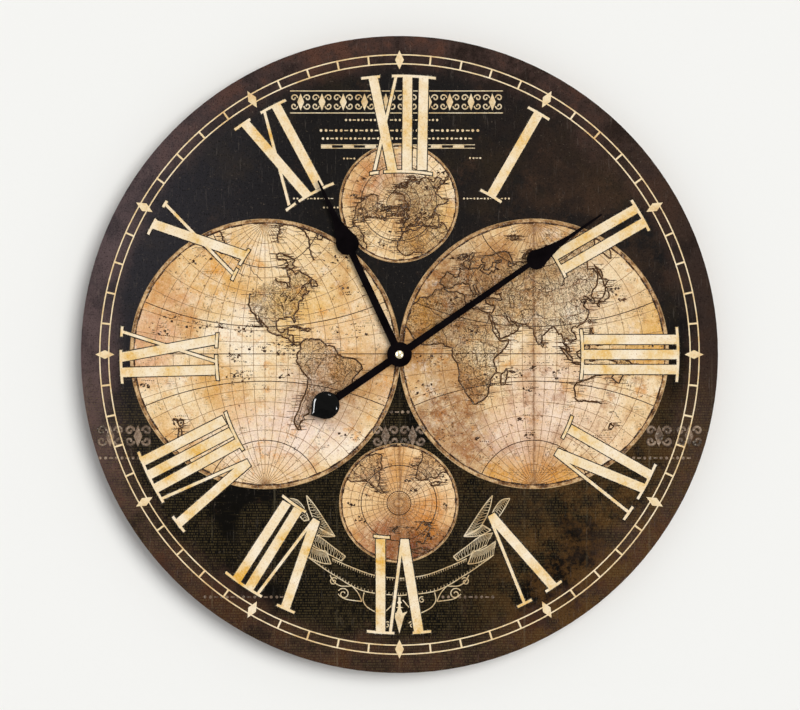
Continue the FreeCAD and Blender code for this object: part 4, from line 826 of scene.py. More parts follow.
# lands with a coast but no tint of their own
blankLands = {
    "australia", "tasmania", "greenland", "baffin", "newfoundland", "farSiberia", "northIsland",
    "southIsland",
}
coasts["farSiberia"] = [point for point in coasts["eurasia"] if point[0] > 160]
lakes = {
    "caspian": [
        (47.5, 45.5), (50.5, 46.8), (53, 45.2), (51, 44), (53, 41.5), (54, 37.3), (50, 37.4),
        (49.5, 40.3), (47.7, 42.8),
    ],
    "aral": [(58.5, 44.5), (59.5, 46.3), (61.5, 46), (60, 43.8)],
    "superior": [(-92, 46.7), (-88, 48.8), (-84.8, 46.8), (-87.5, 46.3)],
    "michigan": [(-87.8, 42), (-86, 45.8), (-82, 45.9), (-82.3, 43.2), (-84, 45), (-86, 43.5)],
    "ontario": [(-83, 41.6), (-79, 43.6), (-76.3, 44), (-79, 42.6)],
    "baikal": [(104, 51.6), (109.5, 55.6), (108, 53)],
    "victoriaLake": [(31.8, -2), (33, 0.4), (34.5, -1), (33, -2.7)],
}
rivers = [
    [(-89.3, 29.5), (-91.2, 33), (-89.5, 37), (-91, 41), (-93.5, 46)],
    [(-90.3, 38.6), (-95.5, 41), (-101, 46), (-108, 47.8)], [(-68, 49), (-73, 46), (-76.5, 44.2)],
    [(-135, 69), (-128, 64), (-120, 61.5), (-111, 58)], [(-123.8, 46.2), (-119, 47), (-117, 50.5)],
    [(-114.8, 32), (-113.5, 36), (-108, 39)],
    [(-50, -1), (-55, -2), (-61, -3.5), (-67, -2.8), (-73, -4.5)],
    [(-60, -3.2), (-64, -10), (-66, -16)],
    [(-58.3, -34), (-60, -31), (-57.5, -27), (-54, -22), (-48, -18)],
    [(-62, 8.8), (-66, 7.3), (-68, 4)], [(-36.5, -10.4), (-40, -9), (-44, -14), (-45, -19)],
    [(-62.5, -39), (-68, -39)],
    [(31, 31.3), (32.8, 25), (31, 20), (33, 17), (32.5, 12), (31.3, 6), (32, 0)],
    [(6, 4.6), (5, 10), (0, 16.5), (-5, 15), (-9, 11.5)],
    [(12.5, -6), (17, -2), (22, 2), (26, -1), (27, -8)],
    [(36.5, -18), (30, -15.8), (25, -17), (22.5, -13)], [(16.5, -28.6), (22, -29), (27, -30)],
    [(48.5, 30.2), (44, 34), (40, 36), (38, 39)], [(67.5, 24), (70, 29), (73, 33.5), (79, 32.5)],
    [(90, 22.6), (85, 25.5), (79, 28.5)],
    [(121.6, 31.6), (114, 30.5), (106, 29.5), (101, 27), (97, 33)],
    [(118.8, 37.6), (114, 35), (110, 37), (107, 40.5), (101, 36)],
    [(141, 53), (135, 48.5), (127, 50.5), (121, 53)],
    [(127, 72.5), (124, 65), (129, 61), (118, 59.5), (108, 55)],
    [(83, 71), (87, 66), (90, 60), (93, 55)], [(69, 66.5), (66, 62), (70, 59), (77, 57), (84, 53)],
    [(48, 45.8), (45, 48.5), (49.5, 53), (44, 56.3), (37, 57)],
    [(30, 45.5), (24, 44), (19, 46), (12, 48.8)], [(4.5, 51.9), (7.5, 50), (8, 47.6)],
    [(98.7, 17), (98, 22), (97.5, 28)], [(106, 10), (104.5, 16), (101, 21), (98, 29)],
    [(140, -36), (143, -34), (148, -36)],
]
inlandLines = [
    [(-125, 48.5), (-115, 48.5), (-104, 49), (-95, 49), (-89, 48)],
    [(-117, 32.6), (-111, 31.4), (-104, 30), (-99.5, 27.5), (-97.2, 25.9)],
    [(-141, 69.6), (-141, 60.3), (-135, 59)],
    [(-72, -17), (-69.5, -12), (-74, -7), (-70, -4), (-69, 1), (-67, 2), (-60, 5)],
    [(-70.3, -18), (-67, -22), (-69, -30), (-71, -38), (-72, -50)],
    [(-58, -20), (-62, -22), (-58, -27), (-54, -26), (-57, -30)],
    [(-13, 27.6), (-5, 22), (4, 19.5), (14, 22), (24, 20), (34, 22)],
    [(10, 4), (15, 8), (24, 9), (34, 8), (42, 4)],
    [(12, -6), (20, -7), (24, -12), (33, -9), (40, -10.5)],
    [(12, -17.5), (21, -18), (25, -17.5), (31, -22), (32.8, -26)], [(20, -28), (20, -22), (29, -22)],
    [(22, 55), (28, 52), (24, 48), (30, 46)], [(7, 53), (6.5, 49.5), (8, 47.5), (7.5, 43.8)],
    [(14, 54), (15, 50), (19, 49.5), (23, 51)],
    [(60, 68), (60, 56), (51, 51), (60, 51), (73, 54), (87, 49)],
    [(87, 49), (98, 51), (108, 49.5), (118, 49.5), (124, 53), (131, 48), (131, 43)],
    [(67, 25), (62, 29.5), (61, 36), (67, 37.3), (74, 37)],
    [(74, 37), (79, 32), (88, 28), (97, 28), (98, 22)], [(44, 39), (48, 30)],
    [(35, 29.5), (44, 31), (48, 28)],
]

globes = {
    "West": {"at": (265.0, 353.9), "radius": 131.6, "edge": 135.2, "look": "side", "turn": -108.0},
    "East": {"at": (533.8, 353.8), "radius": 131.6, "edge": 135.2, "look": "side", "turn": 73.0},
    "North": {"at": (398.8, 203.0), "radius": 57.6, "edge": 59.8, "look": "north", "turn": 75.0},
    "South": {"at": (398.9, 503.1), "radius": 57.6, "edge": 59.8, "look": "south", "turn": 75.0},
}
shown = {
    "West": [
        "northAmerica", "southAmerica", "greenland", "baffin", "newfoundland", "cuba", "hispaniola",
        "iceland", "farSiberia", "northIsland", "southIsland",
    ],
    "East": [
        "africa", "eurasia", "madagascar", "britain", "ireland", "novaya", "spitsbergen", "honshu",
        "hokkaido", "kyushu", "sakhalin", "formosa", "luzon", "mindanao", "borneo", "sumatra", "java",
        "celebes", "newGuinea", "ceylon", "australia", "tasmania",
    ],
    "North": [
        "northAmerica", "southAmerica", "greenland", "baffin", "newfoundland", "cuba", "iceland",
        "britain", "ireland", "africa", "eurasia", "novaya", "spitsbergen", "honshu", "hokkaido",
        "sakhalin",
    ],
    "South": [
        "southAmerica", "africa", "madagascar", "australia", "tasmania", "northIsland", "southIsland",
        "newGuinea",
    ],
}

# groups of islets, as photo x and y, spread and number
islets = {
    "West": [
        (160, 331, 9, 14), (192, 327, 8, 12), (215, 325, 7, 12), (243, 329, 8, 12), (168, 318, 12, 10),
        (233, 358, 9, 18), (240, 376, 10, 22), (281, 352, 8, 14), (284, 344, 6, 8), (282, 375, 5, 8),
        (143, 385, 4, 12), (175, 421, 4, 10), (190, 260, 14, 12), (260, 350, 16, 14),
        (352, 330, 10, 10), (345, 290, 14, 12), (335, 262, 16, 18), (350, 435, 8, 8),
    ],
    "East": [
        (516, 374, 6, 14), (527, 390, 5, 8), (532, 368, 5, 10), (520, 420, 4, 8), (528, 436, 5, 8),
        (476, 438, 3, 6), (585, 300, 8, 14), (612, 290, 6, 14), (621, 300, 3, 14), (640, 345, 10, 10),
        (604, 470, 5, 10), (510, 236, 5, 10), (462, 258, 8, 24), (453, 300, 14, 20), (470, 330, 16, 18),
        (430, 390, 12, 14), (425, 360, 10, 10), (560, 372, 14, 12), (440, 440, 14, 14),
        (488, 380, 10, 10), (590, 440, 14, 8),
    ],
    "North": [
        (365, 178, 6, 10), (352, 195, 5, 10), (358, 210, 6, 8), (378, 205, 6, 12), (420, 215, 8, 20),
        (400, 235, 9, 12), (430, 190, 9, 14), (442, 172, 5, 10), (384, 246, 7, 8), (362, 235, 5, 8),
    ],
    "South": [
        (352, 505, 4, 12), (360, 520, 5, 12), (372, 468, 5, 6), (412, 465, 4, 12), (413, 490, 3, 14),
        (408, 480, 3, 8), (432, 535, 8, 24), (425, 525, 6, 14), (443, 505, 4, 6), (366, 495, 2, 4),
        (398, 545, 6, 10), (440, 480, 5, 6),
    ],
}


def heading(angle):
    return Vector((math.cos(angle), math.sin(angle)))


def projected(globe, lon, lat):
    # stereographic, seen from over the equator or over a pole
    size = globe["radius"] * dial["pixel"]
    if globe["look"] == "side":
        away = math.radians(lon - globe["turn"])
        up = math.radians(lat)
        deep = max(1.0 + math.cos(up) * math.cos(away), 0.02)
        offset = Vector((math.cos(up) * math.sin(away), math.sin(up))) * size / deep
    else:
        north = globe["look"] == "north"
        reach = size * math.tan(math.radians(min(90 - lat if north else 90 + lat, 170) / 2))
        offset = heading(math.radians(lon - globe["turn"] if north else globe["turn"] - lon)) * reach
    return spot(*globe["at"]) + offset


def roughened(points, closed, dice, step=1.3, wander=0.36):
    ends = list(points) + ([points[0]] if closed else [])
    found = []
    for start, stop in zip(ends, ends[1:]):
        gap = Vector(stop) - Vector(start)
        count = max(1, min(9, int(gap.length / step)))
        for part in range(count):
            here = Vector(start) + gap * part / count
            found.append(tuple(place + dice.uniform(-wander, wander) for place in here))
    if not closed:
        found.append(points[-1])
    return found


def insideRuns(globe, points, closed):
    # the parts of a line that lie inside the globe's edge
    centre = spot(*globe["at"])
    limit = globe["radius"] * dial["pixel"]
    flat = [projected(globe, *p) for p in points]
    if closed:
        flat.append(flat[0])
    runs = [[]]
    for point in flat:
        if (point - centre).length <= limit:
            runs[-1].append(point)
        elif runs[-1]:
            runs.append([])
    return [run for run in runs if len(run) > 1]


def clampedOutline(globe, points):
    centre = spot(*globe["at"])
    limit = globe["radius"] * dial["pixel"]
    outline = []
    for point in points:
        offset = projected(globe, *point) - centre
        if offset.length > limit:
            offset *= limit / offset.length
        here = centre + offset
        if not outline or (here - outline[-1]).length > 0.15:
            outline.append(here)
    return outline


globeLook = {  # widths of its lines in millimetres, and how many dashes run round it
    "fine": 0.42, "heavy": 0.8, "neat": 0.95, "dash": 1.7, "edge": 0.65, "sides": 160,
    "dashes": {"side": 36, "north": 24, "south": 24}, "dashStep": 0.022, "dashInset": 0.6,
}


def makeGlobe(name, globe):
    scale = dial["pixel"]
    centre = spot(*globe["at"])
    sides = globeLook["sides"]
    neat = globe["radius"] * scale
    bm = bmesh.new()
    disc(bm, centre, neat, layers["paper"], sides)
    finishPiece("paper" + name, bm, papers["paper" + name])
    bm = bmesh.new()
    hoop(bm, centre, neat, globe["edge"] * scale, layers["paper"], sides)
    finishPiece("border" + name, bm, inks["rimPrint"])
    bm = bmesh.new()
    inner = (globe["edge"] - globeLook["edge"]) * scale
    hoop(bm, centre, inner, globe["edge"] * scale, layers["grid"], sides)
    finishPiece("edge" + name, bm, inks["edgePrint"])
    # graticule every 10 degrees, with heavier tropics, polar circles and equator
    fine = []
    heavy = []
    if globe["look"] == "side":
        west = globe["turn"] - 90
        for lat in list(range(-80, 81, 10)) + [-66.56, -23.44, 23.44, 66.56]:
            line = [projected(globe, west + 7.5 * k, lat) for k in range(25)]
            (fine if lat % 10 == 0 and lat else heavy).append(line)
        for k in range(1, 18):
            fine.append([projected(globe, west + 10 * k, -90 + 7.5 * j) for j in range(25)])
    else:
        sign = 1 if globe["look"] == "north" else -1
        for lat in (10, 20, 23.44, 30, 40, 50, 60, 66.56, 70, 80):
            line = [projected(globe, 7.5 * k, sign * lat) for k in range(49)]
            (fine if lat % 10 == 0 else heavy).append(line)
        for k in range(36):
            fine.append([projected(globe, 10 * k, sign * lat) for lat in (82, 60, 40, 20, 0)])
    bm = bmesh.new()
    drawLines(bm, fine, globeLook["fine"], layers["grid"])
    finishPiece("grid" + name, bm, inks["fineInk"], merge=False)
    bm = bmesh.new()
    drawLines(bm, heavy, globeLook["heavy"], layers["grid"] + 0.01)
    hoop(bm, centre, neat - globeLook["neat"], neat, layers["grid"] + 0.02, sides)
    dashes = globeLook["dashes"][globe["look"]]
    for k in range(dashes):
        turns = [math.tau * k / dashes + s * globeLook["dashStep"] for s in range(5)]
        arc = [centre + heading(turn) * (neat - globeLook["dashInset"]) for turn in turns]
        drawLines(bm, [arc], globeLook["dash"], layers["grid"] + 0.03)
    finishPiece("lines" + name, bm, inks["darkInk"], merge=False)


landLook = {  # coast width in millimetres, and the other lines as shares of it
    "coast": {"side": 0.95, "north": 0.8, "south": 0.8},
    "shade": 1.75, "lake": 0.8, "river": 0.55, "islet": 0.75, "blot": 2.1, "stroke": 0.5,
}


def makeLand(name, globe, seed):
    dice = random.Random(seed)
    outlines = []
    shores = []
    for key in shown[name]:
        if key not in blankLands or globe["look"] == "south":
            outlines.append(clampedOutline(globe, roughened(coasts[key], True, dice)))
        if key in openEnds:
            shores += insideRuns(globe, roughened(coasts[key][: -openEnds[key]], False, dice), False)
        else:
            shores += insideRuns(globe, roughened(coasts[key], True, dice), True)
    waters = []
    for key, lake in lakes.items():
        waters += insideRuns(globe, roughened(lake, True, dice), True)
    bm = bmesh.new()
    for outline in outlines:
        if len(outline) > 3:
            fillShapes(bm, [outline], layers["land"])
    finishPiece("land" + name, bm, lands["paper" + name])
    narrow = landLook["coast"][globe["look"]]
    bm = bmesh.new()
    drawLines(bm, shores, narrow * landLook["shade"], layers["coast"] - 0.03)
    finishPiece("shade" + name, bm, inks["coastTint"], merge=False)
    bm = bmesh.new()
    drawLines(bm, shores, narrow, layers["coast"])
    drawLines(bm, waters, narrow * landLook["lake"], layers["coast"])
    courses = []
    for river in rivers + inlandLines:
        courses += insideRuns(globe, roughened(river, False, dice, 1.4, 0.5), False)
    drawLines(bm, courses, narrow * landLook["river"], layers["coast"] - 0.01)
    centre = spot(*globe["at"])
    room = globe["radius"] * dial["pixel"] - 2
    marks = []
    blots = []
    for x, y, reach, count in islets[name]:
        for number in range(count):
            place = spot(x + dice.gauss(0, reach * 0.7), y + dice.gauss(0, reach * 0.3))
            mark = [place]
            for step in range(3):
                mark.append(mark[-1] + Vector((dice.uniform(0.2, 1.1), dice.uniform(-0.6, 0.6))))
            if (place - centre).length < room:
                (marks if number % 5 else blots).append(mark)
        start = spot(x + dice.uniform(-2, 5), y + dice.choice((-1, 1)) * dice.uniform(2.5, 5))
        for number in range(dice.randrange(4, 8)):
            foot = start + Vector((number * 1.9 * narrow, dice.uniform(-0.3, 0.3)))
            if (foot - centre).length < room - 2:
                marks.append([foot, foot + Vector((0.9 * narrow, dice.uniform(0.2, 0.9)))])
    drawLines(bm, marks, narrow * landLook["islet"], layers["coast"] - 0.02)
    drawLines(bm, blots, narrow * landLook["blot"], layers["coast"] - 0.02)
    # short level strokes off the shore; those that run inland lie under the land
    strokes = []
    for shore in shores:
        for point in shore:
            along = dice.choice((-1, 1)) * dice.uniform(1.5, 11.0) * narrow
            end = point + Vector((along, dice.uniform(-0.5, 0.5)))
            if (end - centre).length < room:
                strokes.append([point, end])
    drawLines(bm, strokes, landLook["stroke"], layers["paper"] + 0.03)
    finishPiece("coast" + name, bm, inks["darkInk"], merge=False)


for count, (globeName, globe) in enumerate(globes.items()):
    makeGlobe(globeName, globe)
    makeLand(globeName, globe, 11 + count)
print("clock: maps")


ornamentLook = {
    "line": 1.15, "tick": 0.52, "rule": 1.2, "ruleGap": 11, "beadPitch": 4.6,
    # rows of scrolls: left, right and height on the photograph, how tall they are, and their line
    "topScrolls": [(290, 503, 102, 22, 1.5)],
    "wornScrolls": [(96, 152, 436, 28, 3.2), (372, 426, 436, 28, 3.2), (644, 704, 436, 28, 3.2)],
    # rows of beads: left, right, height and size
    "topBeads": [
        (346, 440, 120, 0.9), (321, 478, 130.5, 1.1), (323, 474, 138.5, 1.0), (344, 356, 158.5, 0.75),
        (470, 482, 158, 0.75), (294, 334, 198.5, 0.75), (464, 510, 198.5, 0.75), (324, 338, 207.5, 0.75),
    ],
    "wornBeads": [
        (100, 142, 458, 1.2), (628, 694, 458, 1.2), (205, 296, 597, 1.2), (443, 498, 597, 1.2),
        (386, 412, 412, 1.2),
    ],
    # the scale bar: left, upper and lower rule, length of a block and number of blocks
    "bar": (321, 144.8, 148.2, 11, 7),
}


def beadRow(bm, left, right, y, size):
    # bead and reel: two beads, then a short bar
    scale = dial["pixel"] * size
    place = left
    count = 0
    while place < right:
        middle = spot(place, y)
        if count % 3 == 2:
            slab(bm, blockAt(*middle, layers["trim"], 3.4 * scale, 1.1 * scale))
        else:
            slab(bm, blockAt(*middle, layers["trim"], 2.6 * scale, 2.6 * scale), 8)
        place += ornamentLook["beadPitch"] * size
        count += 1


def spiral(x, y, size, turns, start, hand):
    points = []
    for k in range(int(turns * 14) + 1):
        angle = start + hand * math.tau * k / 14
        reach = size * (1 - 0.8 * k / (turns * 14))
        points.append(spot(x + reach * math.cos(angle), y - reach * math.sin(angle)))
    return points


def scrollRow(bm, left, right, y, tall, line):
    # lozenges, each with four small scrolls
    scale = dial["pixel"]
    steps = round((right - left) / tall)
    pitch = (right - left) / steps
    curls = []
    for k in range(steps):
        x = left + pitch * (k + 0.5)
        slab(bm, blockAt(*spot(x, y), layers["trim"], 0.318 * tall * scale, 0.773 * tall * scale), 4)
        for side in (-1, 1):
            for rise in (-1, 1):
                place = (x + 0.3 * tall * side, y + 0.186 * tall * rise)
                start = math.pi if side > 0 else 0.0
                curls.append(spiral(*place, 0.164 * tall, 1.1, start, side * rise))
    drawLines(bm, curls, line * scale, layers["trim"] + 0.05)


def makeTopBand():
    scale = dial["pixel"]
    bm = bmesh.new()
    for left, right, y, tall, line in ornamentLook["topScrolls"]:
        gap = ornamentLook["ruleGap"]
        rules = [[spot(left, y + k), spot(right, y + k)] for k in (-gap, gap)]
        drawLines(bm, rules, ornamentLook["rule"] * scale, layers["trim"])
        scrollRow(bm, left, right, y, tall, line)
    for row in ornamentLook["topBeads"]:
        beadRow(bm, *row)
    # the scale bar: two rules with blocks between them
    left, upper, lower, long, count = ornamentLook["bar"]
    right = left + 2 * long * count
    rules = [[spot(left, y), spot(right, y)] for y in (upper, lower)]
    drawLines(bm, rules, 0.9 * scale, layers["trim"])
    for k in range(count):
        place = spot(left + long * (2 * k + 0.5), (upper + lower) / 2)
        slab(bm, blockAt(*place, layers["trim"] + 0.02, long * scale, 2.4 * scale))
    finishPiece("titleOrnament", bm, inks["creamPrint"], merge=False)


def makeWornBand():
    bm = bmesh.new()
    for row in ornamentLook["wornScrolls"]:
        scrollRow(bm, *row)
    for row in ornamentLook["wornBeads"]:
        beadRow(bm, *row)
    finishPiece("wornBand", bm, inks["mutedPrint"], merge=False)


# places on the photograph; each leaf is one edge, then the other, and the right half is mirrored
ribbon = {
    "axis": 399.4,
    "upperArc": [(332, 558.6), (352, 567.5), (375, 575.5), (399.4, 578.5)],
    "lowerArc": [(307.6, 557), (333, 574.5), (362.7, 590.7), (399.4, 595.6)],
    "leaves": [
        (
            [(306.5, 495.5), (315, 506), (325, 521), (335, 536.5)],
            [(306.5, 495.5), (308.5, 506), (312.5, 517), (319, 528)],
        ),
        (
            [(335, 536.5), (329, 534), (323, 531), (316, 525)],
            [(335, 536.5), (326, 536.5), (317, 535), (308, 530)],
        ),
        (
            [(306, 533), (318, 536), (333, 547), (345.5, 556.5)],
            [(312, 545), (321, 550), (332, 556), (341.5, 561)],
        ),
        (
            [(303, 541), (310, 546), (318, 550), (326, 551)],
            [(305, 555), (312, 559), (322, 563), (331, 564)],
        ),
        (
            [(289, 498.5), (297, 500), (304, 508), (309, 520)],
            [(289, 498.5), (293, 506), (298, 514), (304, 521)],
        ),
    ],
    "stems": [
        [(361.9, 601.4), (350, 600), (343, 598), (338, 594)],
        [(364.2, 592.3), (363, 600), (366.5, 606.5), (372.6, 610.6)],
        [(352, 586), (358, 593), (361.9, 601.4)], [(385, 612), (391, 606), (396, 600)],
        [(372.6, 610.6), (379, 613), (385, 612)], [(330, 575), (334, 582), (341, 586), (352, 586)],
    ],
    "curls": [
        (333.6, 581.5, 4.2, 1.3, 0.6, 1), (343.5, 593.8, 6.0, 1.4, 2.6, -1),
        (387, 625, 3.6, 1.2, 0.5, 1), (377, 600, 3.4, 1.2, 2.0, -1),
    ],
    "pendant": [
        (399.4, 633.6), (402, 624), (404.2, 616), (407.6, 611.5), (402.5, 613), (400.6, 608),
        (400.6, 597),
    ],
    "knots": [(607.5, 8.0, 2.0), (602.5, 5.0, 5.0)],
}


def flipped(points):
    return [(2 * ribbon["axis"] - x, y) for x, y in points]


def smoothLine(points, parts=6):
    # a rounded line through the points
    ends = [points[0]] + list(points) + [points[-1]]
    found = []
    for a, b, c, d in zip(ends, ends[1:], ends[2:], ends[3:]):
        a, b, c, d = (Vector(p) for p in (a, b, c, d))
        for k in range(parts):
            t = k / parts
            square = (2 * a - 5 * b + 4 * c - d) * t**2
            cube = (3 * b - a - 3 * c + d) * t**3
            found.append(0.5 * (2 * b + (c - a) * t + square + cube))
    found.append(Vector(points[-1]))
    return [(p.x, p.y) for p in found]


def makeRibbon():
    scale = dial["pixel"]
    lines = []
    ticks = []
    for flip in (False, True):
        turn = flipped if flip else list
        for key in ("upperArc", "lowerArc"):
            arc = smoothLine(turn(ribbon[key]), 10)
            lines.append([spot(*p) for p in arc])
            drop = 2.6 if key == "upperArc" else -2.6
            for here, there in zip(arc, arc[1:]):
                middle = (Vector(here) + Vector(there)) / 2
                ticks.append([spot(*middle), spot(middle.x, middle.y + drop)])
        for leaf in ribbon["leaves"]:
            first, second = (smoothLine(turn(edge), 8) for edge in leaf)
            for edge in (first, second, (first[-1], second[-1])):
                lines.append([spot(*p) for p in edge])
            for count, (a, b) in enumerate(zip(first, second)):
                reach = Vector(a).lerp(Vector(b), 0.5 + 0.45 * (count % 2))
                ticks.append([spot(*a), spot(*reach)])
        for stem in ribbon["stems"]:
            lines.append([spot(*p) for p in smoothLine(turn(stem))])
        for x, y, size, turns, start, hand in ribbon["curls"]:
            if flip:
                x, start, hand = 2 * ribbon["axis"] - x, math.pi - start, -hand
            lines.append(spiral(x, y, size, turns, start, hand))
    bm = bmesh.new()
    drawLines(bm, lines, ornamentLook["line"] * scale, layers["trim"] + 0.03)
    drawLines(bm, ticks, ornamentLook["tick"] * scale, layers["trim"])
    finishPiece("ribbonLines", bm, inks["creamPrint"], merge=False)
    drop = ribbon["pendant"]
    outline = [spot(*p) for p in drop + flipped(drop[1:])[::-1]]
    bm = bmesh.new()
    fillShapes(bm, [outline], layers["trim"] + 0.05)
    for y, across, tall in ribbon["knots"]:
        place = spot(ribbon["axis"], y)
        slab(bm, blockAt(*place, layers["trim"] + 0.08, across * scale, tall * scale), 4)
    finishPiece("pendant", bm, inks["creamPrint"])


makeTopBand()
makeWornBand()
makeRibbon()
print("clock: ornament")


dropLook = {
    "round": 13.0, "point": 16.8, "side": 1.0, "height": 4.0, "reach": 0.084,
    # the sloping rim, then a low dome: each ring's width and rise as shares
    "rings": [
        (0.97, 0.14), (0.92, 0.2), (0.9, 0.24), (0.97, 0.05), (0.86, 0.12), (0.84, 0.1), (0.8, 0.08),
        (0.7, 0.05), (0.5, 0.02),
    ],
}


def makeCounterweight():
    # the glossy drop on the minute hand's tail
    low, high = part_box("counterweight")
    hub = Vector((0.0, 0.0, dial["centre"][2]))
    middle = (low + high) / 2
    outward = Vector((middle.x, 0.0, middle.z - hub.z)).normalized()
    tail = hub + outward * dropLook["reach"]
    bm = bmesh.new()
    made = bmesh.ops.create_circle(bm, cap_ends=True, segments=72, radius=dropLook["round"])
    reach = math.acos(dropLook["round"] / dropLook["point"])
    for vert in made["verts"]:
        # straight sides run from the round part to the point
        turn = abs(math.atan2(vert.co.x, vert.co.y))
        if turn < reach:
            vert.co /= math.cos(reach - turn)
    top = lifted(bm, [made["verts"][0].link_faces[0]], dropLook["side"])[1]
    span = dropLook["height"] - dropLook["side"]
    for shrink, rise in dropLook["rings"]:
        verts, above = lifted(bm, top, rise * span)
        bmesh.ops.delete(bm, geom=top, context="FACES_ONLY")
        bmesh.ops.scale(bm, verts=verts, vec=(shrink, shrink, 1.0))
        top = above
    facing = Matrix.Rotation(math.radians(90), 4, "X") @ Matrix.Scale(0.001, 4)
    swing = math.atan2(-outward.x, outward.z)
    place = Matrix.Translation((tail.x, high.y, tail.z)) @ facing @ Matrix.Rotation(swing, 4, "Z")
    piece = finishPiece("counterweightDrop", bm, blackGloss(), "minute", place)
    piece.data.shade_smooth()
    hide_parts("counterweight")


def blackGloss():
    material, tree, shader, where = newFinish("blackGloss", 0.08, 0.09)
    cloud = clouds(tree, where, 160.0, 4.0)
    base = toned(tree, cloud, [(0.35, "010101"), (0.65, "050404")])
    peel = clouds(tree, where, 420.0, 2.0)
    wire(tree, shader, base, between(tree, cloud, 0.3, 0.7, 0.06, 0.14), peel, 0.00003, 0.25)
    return material


makeCounterweight()
print("clock: counterweight")


# slots: name, dark and light tone, lowest and highest roughness, grain per metre, bump, metal, specular
plainLook = {
    "case_plastic": ("blackPlastic", "0e0e0f", "1b1b1d", 0.38, 0.55, 2600.0, 0.3, 0.0, 0.4),
    "inner_plastic": ("whiteAcetal", "d9d6cc", "efece3", 0.32, 0.48, 900.0, 0.15, 0.0, 0.5),
    "brass": ("turnedBrass", "a97f35", "d8b263", 0.22, 0.36, 800.0, 0.12, 1.0, 0.5),
    "cap_nut": ("paleBrass", "c9b78c", "efe4c6", 0.16, 0.28, 700.0, 0.1, 1.0, 0.5),
    "screws": ("yellowZinc", "a99a63", "d9cb95", 0.2, 0.34, 900.0, 0.12, 1.0, 0.5),
    "rubber": ("blackRubber", "131211", "242221", 0.7, 0.85, 1500.0, 0.4, 0.0, 0.3),
    "resin": ("blackResin", "0b0b0b", "191817", 0.2, 0.34, 700.0, 0.15, 0.0, 0.5),
    "steel": ("dullSteel", "8d8f92", "bfc1c3", 0.28, 0.42, 1100.0, 0.15, 1.0, 0.5),
    "hand_paint": ("satinBlack", "040203", "0c0709", 0.42, 0.56, 1800.0, 0.2, 0.0, 0.012),
}


def plainFinish(look):
    name, dark, light, roughLow, roughHigh, grain, bump, metal, specular = look
    material, tree, shader, where = newFinish(name, roughLow, specular, metal)
    cloud = clouds(tree, where, 55.0, 6.0, 0.6)
    base = toned(tree, cloud, [(0.35, dark), (0.66, light)])
    texture = clouds(tree, where, grain, 3.0, 0.6)
    base = washed(tree, base, between(tree, texture, 0.62, 0.72, 0.0, 0.25), light)
    mark = clouds(tree, stretched(tree, where, (1.0, 1.0, 0.12), (0.4, 0.3, 0.2)), 900.0, 2.0)
    worn = between(tree, mark, 0.66, 0.75, 0.0, 0.12)
    rough = sums(tree, "ADD", between(tree, cloud, 0.3, 0.7, roughLow, roughHigh), worn)
    wire(tree, shader, base, rough, texture, 0.00004, bump)
    return material


def fibreBoard():
    # painted edge, raw back
    material, tree, shader, where = newFinish("fibreBoard", 0.8, 0.2)
    axes = put(tree, "SeparateXYZ", {0: where}).outputs
    fibres = clouds(tree, stretched(tree, where, (1.0, 1.0, 0.6)), 1250.0, 4.0, 0.6)
    raw = toned(tree, fibres, [(0.3, "765333"), (0.5, "8b6640"), (0.7, "9d784e")])
    cloud = clouds(tree, where, 7.0, 5.0)
    raw = washed(tree, raw, between(tree, cloud, 0.45, 0.7, 0.0, 0.35), "74522f")
    stroke = clouds(tree, where, 120.0, 6.0, 0.7)
    paint = toned(tree, stroke, [(0.38, "17120e"), (0.56, "2a211b"), (0.7, "4b382a")])
    # the paint ends at the back of the board, in a line that the brush left uneven
    uneven = between(tree, clouds(tree, where, 180.0, 3.0), 0.0, 1.0, -0.00025, 0.00005)
    depth = sums(tree, "ADD", axes[1], uneven)
    base = mixed(tree, between(tree, depth, -0.02035, -0.02015), paint, raw)
    wire(tree, shader, base, between(tree, fibres, 0.3, 0.7, 0.7, 0.9), fibres, 0.00005, 0.3)
    return material


def softwood():
    material, tree, shader, where = newFinish("softwood", 0.65, 0.3)
    warp = clouds(tree, where, 6.0, 3.0)
    axes = put(tree, "SeparateXYZ", {0: where}).outputs
    # the grain runs along each batten: upright at the sides, level at top and bottom
    side = between(tree, sums(tree, "ABSOLUTE", axes[0]), 0.1496, 0.1502)
    upright = clouds(tree, stretched(tree, where, (1.0, 1.0, 0.03)), 210.0, 5.0, 0.6)
    level = clouds(tree, stretched(tree, where, (0.03, 1.0, 1.0)), 210.0, 5.0, 0.6)
    grain = put(tree, "Mix", {0: side, 2: level, 3: upright}).outputs[0]
    band = sums(tree, "ADD", times(tree, grain, 0.8), times(tree, warp, 0.2))
    base = toned(tree, band, [(0.36, "a97a45"), (0.5, "cda069"), (0.64, "e2bf8b")])
    pores = clouds(tree, where, 1400.0, 2.0)
    base = washed(tree, base, between(tree, pores, 0.62, 0.72, 0.0, 0.4), "8a5f33")
    wire(tree, shader, base, between(tree, grain, 0.3, 0.7, 0.55, 0.75), grain, 0.00012, 0.5)
    return material


def galvanised():
    material, tree, shader, where = newFinish("galvanised", 0.4, 0.5, 1.0)
    spangle = put(tree, "TexVoronoi", {"Vector": where, "Scale": 260.0}).outputs["Color"]
    tint = put(tree, "SeparateColor", {0: spangle}).outputs[0]
    base = toned(tree, tint, [(0.0, "8f9294"), (0.5, "a9acad"), (1.0, "c3c5c4")])
    stain = between(tree, clouds(tree, where, 90.0, 5.0, 0.65), 0.55, 0.7, 0.0, 0.4)
    base = washed(tree, base, stain, "7b7670")
    wire(tree, shader, base, between(tree, tint, 0.0, 1.0, 0.3, 0.5), tint, 0.00002, 0.2)
    return material


